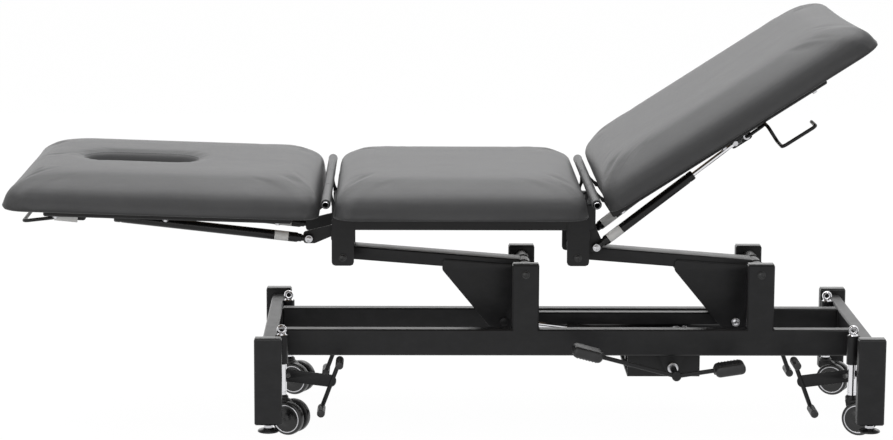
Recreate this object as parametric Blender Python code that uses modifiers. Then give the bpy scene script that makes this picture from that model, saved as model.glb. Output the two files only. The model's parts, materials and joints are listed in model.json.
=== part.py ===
"""Three-section hydraulic massage table on retractable casters.

World frame: +X runs from the head section to the back section, +Y away from the
side with the pump lever, +Z up. Z = 0 is the floor under the casters. All sizes in metres.
"""
import math

import bmesh
import bpy
from mathutils import Matrix, Vector

# Base: two end frames joined by two side rails, each rail with two posts
BASE_LENGTH = 1.386
BASE_WIDTH = 0.610
LEG_WIDTH = 0.060
LEG_DEPTH = 0.030
LEG_BOTTOM = 0.041
LEG_TOP = 0.234
TUBE_HEIGHT = 0.060
TUBE_WIDTH = 0.030
TUBE_EDGE = 0.003
BEAM_TOP = 0.221
RAIL_SPREAD = 0.270
WELD_OVERLAP = 0.0015
RUNNING_GAP = 0.0003
CUT_OVERRUN = 0.005

# Posts and the parallelogram that lifts the top
POST_SPACING = 0.529
POST_CENTRE_X = 0.1725
PIVOT_HEIGHT = 0.346
POST_ABOVE_PIVOT = 0.023
ARM_LENGTH = 0.412
ARM_WIDTH = 0.060
ARM_HEIGHT = 0.030
ARM_REST_ANGLE = math.radians(4.5)
SLEEVE_RADIUS = 0.015
SHAFT_RADIUS = 0.006
BOLT_HEAD_RADIUS = 0.0095
BOLT_HEAD_HEIGHT = 0.005
CRANK_REACH = 0.044
CRANK_PIN_HEIGHT = 0.218
CRANK_FOOT_DROP = 0.044
CRANK_HEEL = 0.014
GUSSET_TOE = 0.186
GUSSET_TOE_DROP = 0.008
GUSSET_SHOULDER = 0.062
GUSSET_SHOULDER_DROP = 0.158
GUSSET_CORNER = 0.012
PLATE_THICKNESS = 0.005
TIE_BAR_HEIGHT = 0.030
TIE_BAR_WIDTH = 0.026
TIE_BAR_SETBACK = 0.001
TIE_BAR_END = 0.016

# Hydraulic pump, ram and rocking foot lever
PUMP_CENTRE_X = 0.223
PUMP_LENGTH = 0.154
PUMP_TANK_RADIUS = 0.030
PUMP_TANK_Y = 0.042
PUMP_BLOCK_LENGTH = 0.048
PUMP_BLOCK_WIDTH = 0.076
PUMP_TOP = 0.184
TRAY_BOTTOM = 0.107
TRAY_SIDE_TOP = 0.205
RAM_PIVOT_X = 0.262
RAM_PIVOT_HEIGHT = 0.168
RAM_OFFSET_Y = -0.015
RAM_RADIUS = 0.013
RAM_BODY_LENGTH = 0.255
RAM_ROD_RADIUS = 0.007
RAM_ROD_LENGTH = 0.275
RAM_EYE_RADIUS = 0.014
RAM_EAR_WIDTH = 0.006
RAM_PIN_RADIUS = 0.005
LEVER_SHAFT_X = 0.240
LEVER_SHAFT_HEIGHT = 0.136
LEVER_SHAFT_RADIUS = 0.007
LEVER_FACE_Y = 0.230
LEVER_SHAFT_END_Y = 0.021
LEVER_BOSS_SHARE = 1.5
LEVER_ROD_RADIUS = 0.005
LEVER_BEND_RADIUS = 0.040
RAISE_PEDAL_REACH = 0.199
RAISE_PEDAL_RISE = 0.052
LOWER_PEDAL_REACH = 0.118
LOWER_PEDAL_RISE = 0.018
PEDAL_LENGTH = 0.068
PEDAL_WIDTH = 0.060
PEDAL_HEIGHT = 0.026
PEDAL_EDGE = 0.011
LEVER_HANGER_TOP_WIDTH = 0.074
LEVER_HANGER_FOOT_WIDTH = 0.026
LEVER_HANGER_DROP = 0.042

# Centre section frame and its tabs
FRAME_ABOVE_TAB_PIVOT = 0.0624
SECTION_TUBE_HEIGHT = 0.060
HINGE_ABOVE_FRAME = 0.0383
BOARD_THICKNESS = 0.018
CUSHION_THICKNESS = 0.081
BACK_CUSHION_THICKNESS = 0.086
CENTRE_FRAME_OUTER = 0.100
CENTRE_FRAME_HEAD_END = -0.5275
CENTRE_FRAME_BACK_END = 0.065
TAB_WIDTH = 0.050
TAB_BELOW_PIVOT = 0.018
TAB_CORNER = 0.008
TAB_INSET = 0.002
HEAD_HINGE_X = -0.5346
BACK_HINGE_X = 0.0505
HINGE_TUBE_RADIUS = 0.0065
HINGE_TUBE_WALL = 0.0015
HINGE_EAR_RADIUS = 0.0088
EAR_THICKNESS = 0.006
CENTRE_EAR_Y = 0.099
SECTION_EAR_Y = 0.110
SLEEVE_RIM_RADIUS = 0.0108
SLEEVE_OVERHANG = 0.012

# Sections that tilt: cushion, board and steel frame
SECTION_WIDTH = 0.700
HEAD_TILT = math.radians(1.7)
BACK_TILT = math.radians(32.8)
CUSHION_START = 0.0112
HEAD_CUSHION_END = 0.703
BACK_CUSHION_END = 0.7015
BOARD_INSET = 0.022
BOARD_CORNER = 0.030
CUSHION_PLAN_CORNER = 0.045
CUSHION_LEAST_CORNER = 0.012
CUSHION_EDGE = 0.042
CUSHION_DRAW_IN = 0.004
# Insets as shares of the edge and heights as shares of the thickness, from the underside up
CUSHION_SIDE_SHARES = ((0.24, 0.0), (0.12, 0.05), (0.035, 0.123), (0.0, 0.222), (0.024, 0.42), (0.08, 0.56),
                       (0.19, 0.68), (0.36, 0.79), (0.62, 0.885), (1.0, 0.95))
# The same for the crown, with insets as shares of half the width
CUSHION_CROWN_SHARES = ((0.26, 0.985), (0.5, 1.0))
FACE_HOLE_LENGTH = 0.251
FACE_HOLE_WIDTH = 0.130
FACE_HOLE_CENTRE = 0.426
FACE_HOLE_LIP = 0.008
FACE_HOLE_CORNER_SHARE = 0.98
SECTION_MEMBER_Y = 0.115
SECTION_MEMBER_WIDTH = 0.030
SECTION_MEMBER_HEIGHT = 0.041
HEAD_MEMBER_START = 0.079
HEAD_MEMBER_END = 0.631
BACK_MEMBER_START = 0.010
BACK_MEMBER_END = 0.570
CROSS_PLATE_WIDTH = 0.030
CROSS_PLATE_THICKNESS = 0.008
HEAD_CROSS_PLATE_X = 0.144
BACK_CROSS_PLATE_X = 0.060
# Edges of a hinge ear on its own side and on the other side, as reach and drop from the hinge
EAR_OWN_EDGE = ((0.0088, 0.0180), (0.0114, 0.0285), (0.0146, 0.0348), (0.0205, 0.0389))
EAR_OTHER_EDGE = ((-0.0088, 0.0046), (-0.0062, 0.0088), (0.0026, 0.0222), (0.0060, 0.0304), (0.0063, 0.0400))
EAR_HEEL_REACH = 0.036
EAR_HEEL_DROP = 0.0683

# Gas struts
STRUT_Y = 0.098
STRUT_RADIUS = 0.011
STRUT_ROD_RADIUS = 0.005
STRUT_EYE_RADIUS = 0.010
STRUT_EYE_WIDTH = 0.012
STRUT_PIN_RADIUS = 0.004
STRUT_EYE_NECK_SHARE = 0.7
STRUT_PLATE_Y = 0.081
STRUT_CLEVIS_RADIUS = 0.013
HEAD_STRUT_DROP = 0.1175
HEAD_STRUT_OFFSET = -0.0442
HEAD_STRUT_BODY = 0.438
HEAD_STRUT_ROD = 0.180
HEAD_STRUT_BORE = 0.186
HEAD_STRUT_TOP = (0.554, -0.077)
BACK_STRUT_DROP = 0.1365
BACK_STRUT_OFFSET = 0.0172
BACK_STRUT_BODY = 0.272
BACK_STRUT_ROD = 0.220
BACK_STRUT_BORE = 0.190
BACK_STRUT_TOP = (0.3278, -0.0901)
HEAD_RELEASE_LENGTH = 0.028
BACK_RELEASE_LENGTH = 0.020
RELEASE_HEAD_RADIUS = 0.008
RELEASE_HEAD_SETBACK = 0.005
BRACKET_TOP_OVERLAP = 0.010

# Release handles
HANDLE_RADIUS = 0.004
HANDLE_BEND = 0.012
HANDLE_HOOK = 0.021
HEAD_HANDLE_PIVOT = (0.590, -0.086)
HEAD_HANDLE_END = (0.680, -0.099)
BACK_HANDLE_PIVOT = (0.3573, -0.0935)
BACK_HANDLE_END = (0.407, -0.0905)
GRIP_DROP = 0.0375
GRIP_DROP_Y = 0.153
GRIP_Y = 0.240
GRIP_LENGTH = 0.086
GRIP_RETURN = 0.070
BRACKET_MARGIN = 0.012
BRACKET_FOOT_SHARE = 0.8

# Casters, wheel levers and levelling feet
CASTER_Y = 0.197
GUIDE_RADIUS = 0.013
GUIDE_BOTTOM = 0.157
STEM_RADIUS = 0.0105
STEM_BOTTOM = 0.086
STEM_TOP = 0.224
STEM_EYE_RADIUS = 0.0115
STEM_PIN_RADIUS = 0.003
STEM_EYE_HOLE_SHARE = 0.45
WHEEL_RADIUS = 0.0375
WHEEL_THICKNESS = 0.018
WHEEL_SPREAD = 0.050
WHEEL_EDGE = 0.005
WHEEL_DISH = 0.003
WHEEL_RIM = 0.007
WHEEL_HUB_RADIUS = 0.007
WHEEL_CAP_RADIUS = 0.014
CASTER_TRAIL = 0.022
CASTER_SWIVEL = math.radians(-25.0)
FORK_COLLAR_RADIUS = 0.014
FORK_COLLAR_BOTTOM = 0.0765
FORK_WEB_MARGIN = 0.002
FORK_HUB_RADIUS = 0.014
FORK_NECK_SHARE = 0.6
LEVER_PIVOT_INSET = 0.025
LEVER_PIVOT_HEIGHT = 0.131
LEVER_CROSS_RADIUS = 0.007
LEVER_LUG_Y = 0.215
LEVER_LUG_WIDTH = 0.024
LEVER_LUG_CORNER_SHARE = 0.8
LEVER_PLATE_Y = 0.177
LEVER_PLATE_HEIGHT = 0.028
LEVER_REACH = 0.139
LEVER_DROP = 0.018
LEVER_SLOT_WIDTH = 0.010
LEVER_SLOT_LENGTH = 0.030
LEVER_END_SHARE = 0.9
LEVER_SLOT_END_SHARE = 0.45
PIN_HEIGHT = 0.127
TREADLE_TOP_INSET = 0.185
TREADLE_TOP_HEIGHT = 0.160
TREADLE_FOOT_INSET = 0.144
TREADLE_FOOT_HEIGHT = 0.051
TREADLE_ROD_RADIUS = 0.005
TREADLE_PAD_RADIUS = 0.009
TREADLE_PAD_LENGTH = 0.060
TREADLE_PAD_COVER_SHARE = 0.75
FOOT_PAD_RADIUS = 0.0235
FOOT_PAD_BOTTOM = 0.024
FOOT_PAD_HEIGHT = 0.009
FOOT_PAD_TAPER_SHARE = 0.8
FOOT_STUD_RADIUS = 0.005
FOOT_STUD_LENGTH = 0.048

# Facet counts
ROUND_SIDES = 12
SMALL_SIDES = 8
WHEEL_STEPS = 16
BEND_STEPS = 2
CORNER_STEPS = 2
EDGE_SEGMENTS = 1
CUSHION_CORNER_STEPS = 6
CUSHION_SIDE_STEPS = 8
UNIT_CUBE = 1.0
STRAIGHT_HALF_ANGLE = math.radians(89.5)

# Colour, roughness and metallic value of each material
FINISHES = {
    "black_steel": ((0.022, 0.022, 0.024), 0.45, 0.3),
    "chrome": ((0.75, 0.75, 0.77), 0.15, 1.0),
    "grey_vinyl": ((0.19, 0.19, 0.195), 0.5, 0.0),
    "plywood": ((0.42, 0.30, 0.18), 0.7, 0.0),
    "black_rubber": ((0.015, 0.015, 0.016), 0.8, 0.0),
    "black_plastic": ((0.025, 0.025, 0.027), 0.4, 0.0),
    "strut_black": ((0.018, 0.018, 0.02), 0.3, 0.2),
}

# Sizes that follow from those above
HALF_LENGTH = BASE_LENGTH / 2
HALF_WIDTH = BASE_WIDTH / 2
BEAM_INNER = HALF_LENGTH - LEG_WIDTH / 2 - TUBE_WIDTH / 2
RAIL_INNER = RAIL_SPREAD / 2 - TUBE_WIDTH
RAIL_BOTTOM = BEAM_TOP - TUBE_HEIGHT
POST_HEAD_X = POST_CENTRE_X - POST_SPACING / 2
POST_FOOT_X = POST_CENTRE_X + POST_SPACING / 2
POST_TOP = PIVOT_HEIGHT + POST_ABOVE_PIVOT
CRANK_DROP = PIVOT_HEIGHT - CRANK_PIN_HEIGHT
ARM_RUN = ARM_LENGTH * math.cos(ARM_REST_ANGLE)
ARM_RISE = ARM_LENGTH * math.sin(ARM_REST_ANGLE)
TAB_PIVOT_HEIGHT = PIVOT_HEIGHT + ARM_RISE
BORE_RADIUS = SHAFT_RADIUS + RUNNING_GAP
FRAME_BOTTOM = TAB_PIVOT_HEIGHT + FRAME_ABOVE_TAB_PIVOT
FRAME_TOP = FRAME_BOTTOM + SECTION_TUBE_HEIGHT
CUSHION_BOTTOM = FRAME_TOP + RUNNING_GAP
HINGE_HEIGHT = FRAME_TOP + HINGE_ABOVE_FRAME
UNDERSIDE = CUSHION_BOTTOM - HINGE_HEIGHT
LEVER_PIVOT_X = HALF_LENGTH - LEVER_PIVOT_INSET
TREADLE_TOP_X = HALF_LENGTH - TREADLE_TOP_INSET
TREADLE_FOOT_X = HALF_LENGTH - TREADLE_FOOT_INSET
CASTER_X = BEAM_INNER - GUIDE_RADIUS + WELD_OVERLAP
HINGE_BORE = HINGE_TUBE_RADIUS + RUNNING_GAP


def clear_scene():
    for item in list(bpy.data.objects):
        bpy.data.objects.remove(item)


def make_collection(name):
    group = bpy.data.collections.new(name)
    bpy.context.scene.collection.children.link(group)
    return group


def make_material(name):
    colour, roughness, metallic = FINISHES[name]
    material = bpy.data.materials.new(name)
    material.use_nodes = True
    shader = material.node_tree.nodes["Principled BSDF"]
    shader.inputs["Base Color"].default_value = (*colour, 1.0)
    shader.inputs["Roughness"].default_value = roughness
    shader.inputs["Metallic"].default_value = metallic
    return material


clear_scene()
TABLE = make_collection("massage_table")
CUTTERS = make_collection("construction_shapes")
MATERIALS = {name: make_material(name) for name in FINISHES}


def add_mesh(name, shape):
    """Turns a bmesh into an object among the construction shapes."""
    mesh = bpy.data.meshes.new(name)
    bmesh.ops.recalc_face_normals(shape, faces=shape.faces)
    shape.to_mesh(mesh)
    shape.free()
    piece = bpy.data.objects.new(name, mesh)
    piece.hide_render = True
    piece.display_type = "WIRE"
    CUTTERS.objects.link(piece)
    return piece


def soften(piece, width, segments=EDGE_SEGMENTS):
    bevel = piece.modifiers.new("edges", "BEVEL")
    bevel.width = width
    bevel.segments = segments
    bevel.limit_method = "ANGLE"
    return piece


def block(name, low, high, edge=TUBE_EDGE):
    """A box between two corners, with rounded edges."""
    low, high = Vector(low), Vector(high)
    size = high - low
    shape = bmesh.new()
    place = Matrix.Translation((low + high) / 2) @ Matrix.Diagonal((*size, 1))
    bmesh.ops.create_cube(shape, size=UNIT_CUBE, matrix=place)
    piece = add_mesh(name, shape)
    return soften(piece, edge) if edge else piece


def mirrored_block(name, sign_x, near_x, far_x, y_range, z_range, edge=TUBE_EDGE):
    """A block whose X range is measured outwards from the centre, on either end."""
    ends = sorted((sign_x * near_x, sign_x * far_x))
    sides = sorted(y_range)
    return block(name, (ends[0], sides[0], z_range[0]), (ends[1], sides[1], z_range[1]), edge)


def bar(name, start, end, width, height, edge=TUBE_EDGE):
    """A box tube along a line in the XZ plane; width is along Y."""
    start, end = Vector(start), Vector(end)
    run = end - start
    tilt = math.atan2(-run.z, run.x)
    shape = bmesh.new()
    place = Matrix.Translation((start + end) / 2) @ Matrix.Rotation(tilt, 4, "Y")
    place = place @ Matrix.Diagonal((run.length, width, height, 1))
    bmesh.ops.create_cube(shape, size=UNIT_CUBE, matrix=place)
    piece = add_mesh(name, shape)
    return soften(piece, edge) if edge else piece


def rod(name, start, end, radius, sides=ROUND_SIDES, end_radius=None):
    """A round bar between two points."""
    start, end = Vector(start), Vector(end)
    run = end - start
    shape = bmesh.new()
    place = Matrix.Translation((start + end) / 2) @ run.to_track_quat("Z", "Y").to_matrix().to_4x4()
    top = radius if end_radius is None else end_radius
    bmesh.ops.create_cone(shape, cap_ends=True, segments=sides, radius1=radius, radius2=top,
                          depth=run.length, matrix=place)
    return add_mesh(name, shape)


def cross_rod(name, x, z, y_low, y_high, radius, sides=ROUND_SIDES):
    return rod(name, (x, y_low, z), (x, y_high, z), radius, sides)


def arc_points(centre, start, end, steps):
    """Points on the arc about centre from start to end, the short way round."""
    first, last = start - centre, end - centre
    normal = first.cross(last).normalized()
    turn = first.angle(last)
    return [centre + Matrix.Rotation(turn * step / steps, 3, normal) @ first for step in range(steps + 1)]


def rounded_path(points, radius, steps=BEND_STEPS):
    """A path whose inner corners are replaced by arcs of one radius."""
    points = [Vector(point) for point in points]
    path = [points[0]]
    for before, corner, after in zip(points, points[1:], points[2:]):
        inward, outward = (before - corner).normalized(), (after - corner).normalized()
        half = inward.angle(outward, math.pi) / 2
        if half > STRAIGHT_HALF_ANGLE:
            continue
        setback = min(radius / math.tan(half), (before - corner).length / 2, (after - corner).length / 2)
        middle = (inward + outward).normalized() * (setback / math.cos(half))
        path += arc_points(corner + middle, corner + inward * setback, corner + outward * setback, steps)
    return path + [points[-1]]


def as_mesh(curve_object):
    """Replaces a curve by its mesh, with the caps welded on."""
    graph = bpy.context.evaluated_depsgraph_get()
    mesh = bpy.data.meshes.new_from_object(curve_object.evaluated_get(graph))
    shape = bmesh.new()
    shape.from_mesh(mesh)
    bmesh.ops.remove_doubles(shape, verts=shape.verts, dist=RUNNING_GAP / 10)
    shape.transform(curve_object.matrix_world)
    name = curve_object.name
    bpy.data.objects.remove(curve_object)
    bpy.data.meshes.remove(mesh)
    return add_mesh(name, shape)


def wire(name, points, radius, bend):
    """A bent round wire with filled ends."""
    curve = bpy.data.curves.new(name, "CURVE")
    curve.dimensions = "3D"
    curve.bevel_depth = radius
    curve.bevel_resolution = 2
    curve.use_fill_caps = True
    spline = curve.splines.new("POLY")
    path = rounded_path(points, bend)
    spline.points.add(len(path[1:]))
    for slot, point in zip(spline.points, path):
        slot.co = (*point, 1)
    wire_object = bpy.data.objects.new(name, curve)
    CUTTERS.objects.link(wire_object)
    bpy.context.view_layer.update()
    return as_mesh(wire_object)


def add_outline(curve, points):
    spline = curve.splines.new("POLY")
    spline.points.add(len(points[1:]))
    for slot, point in zip(spline.points, points):
        slot.co = (point[0], point[1], 0, 1)
    spline.use_cyclic_u = True


def rounded_outline(points, radius, steps=CORNER_STEPS):
    """A closed outline with every corner rounded."""
    closed = [(x, y, 0) for x, y in points]
    start = Vector(closed[0]).lerp(Vector(closed[1]), 0.5)
    loop = [start] + [Vector(point) for point in closed[1:]] + [Vector(closed[0]), start]
    path = rounded_path(loop, radius, steps)
    return [(point.x, point.y) for point in path[1:-1]]


def circle_outline(x, z, radius, sides=ROUND_SIDES):
    """A round hole whose flats, not its corners, lie at the radius."""
    radius = radius / math.cos(math.pi / sides)
    turns = [2 * math.pi * (step + 0.5) / sides for step in range(sides)]
    return [(x + radius * math.cos(turn), z + radius * math.sin(turn)) for turn in turns]


def plate(name, outline, y_low, y_high, holes=()):
    """A flat plate cut from an XZ outline, with round or slotted holes."""
    curve = bpy.data.curves.new(name, "CURVE")
    curve.dimensions = "2D"
    curve.fill_mode = "BOTH"
    curve.extrude = abs(y_high - y_low) / 2
    add_outline(curve, outline)
    for hole in holes:
        add_outline(curve, hole)
    piece = bpy.data.objects.new(name, curve)
    piece.rotation_euler = (math.pi / 2, 0, 0)
    piece.location = (0, (y_low + y_high) / 2, 0)
    CUTTERS.objects.link(piece)
    bpy.context.view_layer.update()
    return as_mesh(piece)


def level_prism(name, outlines, z_low, z_high):
    """A level slab from an outline in plan; any further outlines are holes in it."""
    curve = bpy.data.curves.new(name, "CURVE")
    curve.dimensions = "2D"
    curve.fill_mode = "BOTH"
    curve.extrude = (z_high - z_low) / 2
    for outline in outlines:
        add_outline(curve, outline)
    piece = bpy.data.objects.new(name, curve)
    piece.location = (0, 0, (z_low + z_high) / 2)
    CUTTERS.objects.link(piece)
    bpy.context.view_layer.update()
    return as_mesh(piece)


def around(radius, sides):
    """The corner radius of a bore whose flats clear a shaft of this radius as it turns."""
    return (radius + RUNNING_GAP) / math.cos(math.pi / sides)


def combine(target, other, operation):
    step = target.modifiers.new(operation.lower(), "BOOLEAN")
    step.operation = operation
    step.solver = "EXACT"
    step.object = other


def weld(target, *others):
    for other in others:
        combine(target, other, "UNION")
    return target


def cut(target, *others):
    for other in others:
        combine(target, other, "DIFFERENCE")
    return target


def finish(piece, material, pivot=None, local=False):
    """Moves a piece from the construction shapes to the table and hangs it on its pivot.

    A local piece was drawn in its pivot's own frame, any other one in the world frame.
    """
    CUTTERS.objects.unlink(piece)
    TABLE.objects.link(piece)
    piece.hide_render = False
    piece.display_type = "TEXTURED"
    piece.data.materials.append(MATERIALS[material])
    family = [piece] + [step.object for step in piece.modifiers if step.type == "BOOLEAN"]
    for member in list(family):
        family += [step.object for step in member.modifiers if step.type == "BOOLEAN"]
    bpy.context.view_layer.update()
    for member in dict.fromkeys(family):
        member.parent = pivot or ROOT
        if pivot and not local:
            member.matrix_parent_inverse = pivot.matrix_world.inverted()
    piece.data.shade_smooth()
    piece.data.set_sharp_from_angle(angle=math.radians(35))
    return piece


def pivot_at(name, place, parent=None, turn_y=0.0, turn_z=0.0):
    """An empty on a joint's axis."""
    empty = bpy.data.objects.new(name, None)
    empty.location = place
    empty.rotation_euler = (0, turn_y, turn_z)
    empty.parent = parent
    TABLE.objects.link(empty)
    return empty


ROOT = pivot_at("table_origin", (0, 0, 0))


# Names and directions of what comes in pairs
ENDS = {"head": -1, "foot": 1}
SIDES = {"near": -1, "far": 1}


def side_range(side, inner, outer):
    """A Y range on the near or the far side."""
    return sorted((SIDES[side] * inner, SIDES[side] * outer))


def end_frame(end):
    """Two legs, the beam between them, the caster guides and the lever's lugs, welded."""
    sign = ENDS[end]
    beam = mirrored_block(f"end_frame_{end}", sign, BEAM_INNER, BEAM_INNER + TUBE_WIDTH,
                          (LEG_DEPTH / 2 - HALF_WIDTH, HALF_WIDTH - LEG_DEPTH / 2), (RAIL_BOTTOM, BEAM_TOP))
    for side in SIDES:
        weld(beam, leg(end, side), caster_guide(end, side), lever_lug(end, side))
        cut(beam, stud_bore(end, side), guide_bore(end, side))
    cut(beam, cross_rod(f"lever_bore_{end}", sign * LEVER_PIVOT_X, LEVER_PIVOT_HEIGHT,
                        -CASTER_Y - TUBE_HEIGHT, CASTER_Y + TUBE_HEIGHT, LEVER_CROSS_RADIUS + RUNNING_GAP))
    finish(beam, "black_steel")


def leg(end, side):
    return mirrored_block(f"leg_{end}_{side}", ENDS[end], HALF_LENGTH - LEG_WIDTH, HALF_LENGTH,
                          side_range(side, HALF_WIDTH - LEG_DEPTH, HALF_WIDTH), (LEG_BOTTOM, LEG_TOP))


def caster_guide(end, side):
    x, y = ENDS[end] * CASTER_X, SIDES[side] * CASTER_Y
    return rod(f"guide_{end}_{side}", (x, y, GUIDE_BOTTOM), (x, y, BEAM_TOP), GUIDE_RADIUS)


def guide_bore(end, side):
    x, y = ENDS[end] * CASTER_X, SIDES[side] * CASTER_Y
    return rod(f"guide_bore_{end}_{side}", (x, y, GUIDE_BOTTOM - CUT_OVERRUN), (x, y, BEAM_TOP + CUT_OVERRUN),
               STEM_RADIUS + RUNNING_GAP)


def lever_lug(end, side):
    """A plate under the beam that carries the wheel lever's cross shaft."""
    x, half = ENDS[end] * LEVER_PIVOT_X, LEVER_LUG_WIDTH / 2
    top = RAIL_BOTTOM + WELD_OVERLAP
    outline = [(x - half, LEVER_PIVOT_HEIGHT - half), (x + half, LEVER_PIVOT_HEIGHT - half),
               (x + half, top), (x - half, top)]
    low, high = side_range(side, LEVER_LUG_Y, LEVER_LUG_Y + PLATE_THICKNESS)
    return plate(f"lug_{end}_{side}", rounded_outline(outline, half * LEVER_LUG_CORNER_SHARE), low, high)


def stud_bore(end, side):
    x, y = ENDS[end] * (HALF_LENGTH - LEG_WIDTH / 2), SIDES[side] * (HALF_WIDTH - LEG_DEPTH / 2)
    top = FOOT_PAD_BOTTOM + FOOT_PAD_HEIGHT + FOOT_STUD_LENGTH + FOOT_PAD_RADIUS
    return rod(f"stud_bore_{end}_{side}", (x, y, LEG_BOTTOM - CUT_OVERRUN), (x, y, top),
               FOOT_STUD_RADIUS + RUNNING_GAP, SMALL_SIDES)


def levelling_foot(end, side, pivot):
    """A tapered pad on a threaded stud that screws into the leg."""
    x, y = ENDS[end] * (HALF_LENGTH - LEG_WIDTH / 2), SIDES[side] * (HALF_WIDTH - LEG_DEPTH / 2)
    pad_top = FOOT_PAD_BOTTOM + FOOT_PAD_HEIGHT
    pad = rod(f"levelling_foot_{end}_{side}", (x, y, FOOT_PAD_BOTTOM), (x, y, pad_top), FOOT_PAD_RADIUS,
              end_radius=FOOT_PAD_RADIUS * FOOT_PAD_TAPER_SHARE)
    stud = rod(f"stud_{end}_{side}", (x, y, pad_top - WELD_OVERLAP), (x, y, pad_top + FOOT_STUD_LENGTH),
               FOOT_STUD_RADIUS, SMALL_SIDES)
    finish(weld(pad, stud), "black_plastic", pivot)


def side_frame(side):
    """A side rail with the two posts that carry the lift arms."""
    rail = block(f"side_frame_{side}", *zip((RUNNING_GAP - BEAM_INNER, BEAM_INNER - RUNNING_GAP),
                                            side_range(side, RAIL_INNER, RAIL_SPREAD / 2),
                                            (RAIL_BOTTOM, BEAM_TOP)))
    for x in (POST_HEAD_X, POST_FOOT_X):
        weld(rail, block(f"post_{side}_{x:.2f}", *zip((x - TUBE_HEIGHT / 2, x + TUBE_HEIGHT / 2),
                                                      side_range(side, RAIL_INNER, RAIL_SPREAD / 2),
                                                      (RAIL_BOTTOM + TUBE_WIDTH, POST_TOP))))
        cut(rail, cross_rod(f"post_bore_{side}_{x:.2f}", x, PIVOT_HEIGHT, -HALF_WIDTH, HALF_WIDTH, BORE_RADIUS))
    if side == "near":
        weld(rail, lever_hanger())
    finish(rail, "black_steel")


def lever_hanger():
    """The tapered plate under the near rail that steadies the pump lever's shaft."""
    top, foot = LEVER_HANGER_TOP_WIDTH / 2, LEVER_HANGER_FOOT_WIDTH / 2
    z_top, z_foot = RAIL_BOTTOM + TUBE_WIDTH / 2, RAIL_BOTTOM - LEVER_HANGER_DROP
    outline = [(LEVER_SHAFT_X - foot, z_foot), (LEVER_SHAFT_X + foot, z_foot),
               (LEVER_SHAFT_X + top, z_top), (LEVER_SHAFT_X - top, z_top)]
    hole = circle_outline(LEVER_SHAFT_X, LEVER_SHAFT_HEIGHT, LEVER_SHAFT_RADIUS + RUNNING_GAP)
    middle = RAIL_SPREAD / 2 - TUBE_WIDTH / 2
    return plate("lever_hanger", outline, -middle - PLATE_THICKNESS / 2, -middle + PLATE_THICKNESS / 2, [hole])


def headed_pin(name, x, z, y_low, y_high, heads=(True, True)):
    """A shaft along Y with a flat round head outside each end that has one."""
    reach = RUNNING_GAP + BOLT_HEAD_HEIGHT / 2
    pin = cross_rod(name, x, z, y_low - reach * heads[0], y_high + reach * heads[1], SHAFT_RADIUS)
    if heads[0]:
        face = y_low - RUNNING_GAP
        weld(pin, cross_rod(f"{name}_head_a", x, z, face - BOLT_HEAD_HEIGHT, face, BOLT_HEAD_RADIUS))
    if heads[1]:
        face = y_high + RUNNING_GAP
        weld(pin, cross_rod(f"{name}_head_b", x, z, face, face + BOLT_HEAD_HEIGHT, BOLT_HEAD_RADIUS))
    return pin


GUSSET_INNER_Y = ARM_WIDTH / 2 - WELD_OVERLAP
GUSSET_OUTER_Y = GUSSET_INNER_Y + PLATE_THICKNESS
TAB_INNER_Y = CENTRE_FRAME_OUTER - TAB_INSET
TAB_OUTER_Y = TAB_INNER_Y + PLATE_THICKNESS


def gusset(name, post_x, side):
    """A side plate of the bell crank, from the arm down to the crank pin."""
    slope = ARM_RISE / ARM_RUN
    outline = [(-GUSSET_TOE, GUSSET_TOE * slope), (-GUSSET_TOE, -GUSSET_TOE_DROP),
               (-GUSSET_SHOULDER, -GUSSET_SHOULDER_DROP),
               (-CRANK_REACH + CRANK_HEEL, -CRANK_DROP - CRANK_FOOT_DROP), (CRANK_HEEL, 0)]
    placed = [(post_x + x, PIVOT_HEIGHT + z) for x, z in rounded_outline(outline, GUSSET_CORNER)]
    return plate(name, placed, *side_range(side, GUSSET_INNER_Y, GUSSET_OUTER_Y))


def lift_arm(end, post_x, pivot):
    """A bell crank: a box arm up to the tab, two sleeves and the pair of crank plates."""
    tab_x = post_x - ARM_RUN
    arm = bar(f"lift_arm_{end}", (post_x, 0, PIVOT_HEIGHT), (tab_x, 0, TAB_PIVOT_HEIGHT), ARM_WIDTH, ARM_HEIGHT)
    post_half, tab_half = RAIL_INNER - RUNNING_GAP, TAB_INNER_Y - RUNNING_GAP
    weld(arm, cross_rod(f"post_sleeve_{end}", post_x, PIVOT_HEIGHT, -post_half, post_half, SLEEVE_RADIUS))
    weld(arm, cross_rod(f"tab_sleeve_{end}", tab_x, TAB_PIVOT_HEIGHT, -tab_half, tab_half, SLEEVE_RADIUS))
    for side in SIDES:
        weld(arm, gusset(f"gusset_{end}_{side}", post_x, side))
    crank_x, crank_z = post_x - CRANK_REACH, PIVOT_HEIGHT - CRANK_DROP
    bore_low = -HALF_WIDTH
    if end == "head":
        weld(arm, cross_rod("crank_boss", crank_x, crank_z, -GUSSET_OUTER_Y - BOLT_HEAD_HEIGHT,
                            WELD_OVERLAP - GUSSET_OUTER_Y, BOLT_HEAD_RADIUS))
        bore_low = 0
    cut(arm, cross_rod(f"crank_bore_{end}", crank_x, crank_z, bore_low, HALF_WIDTH, BORE_RADIUS),
        cross_rod(f"arm_post_bore_{end}", post_x, PIVOT_HEIGHT, -HALF_WIDTH, HALF_WIDTH, BORE_RADIUS),
        cross_rod(f"arm_tab_bore_{end}", tab_x, TAB_PIVOT_HEIGHT, -HALF_WIDTH, HALF_WIDTH, BORE_RADIUS))
    finish(arm, "black_steel", pivot)
    pin_low = -TIE_BAR_SETBACK * 3 if end == "head" else -GUSSET_OUTER_Y
    crank_pin = headed_pin(f"crank_pin_{end}", crank_x, crank_z, pin_low, GUSSET_OUTER_Y, (end == "foot", True))
    finish(crank_pin, "chrome", pivot)


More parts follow.
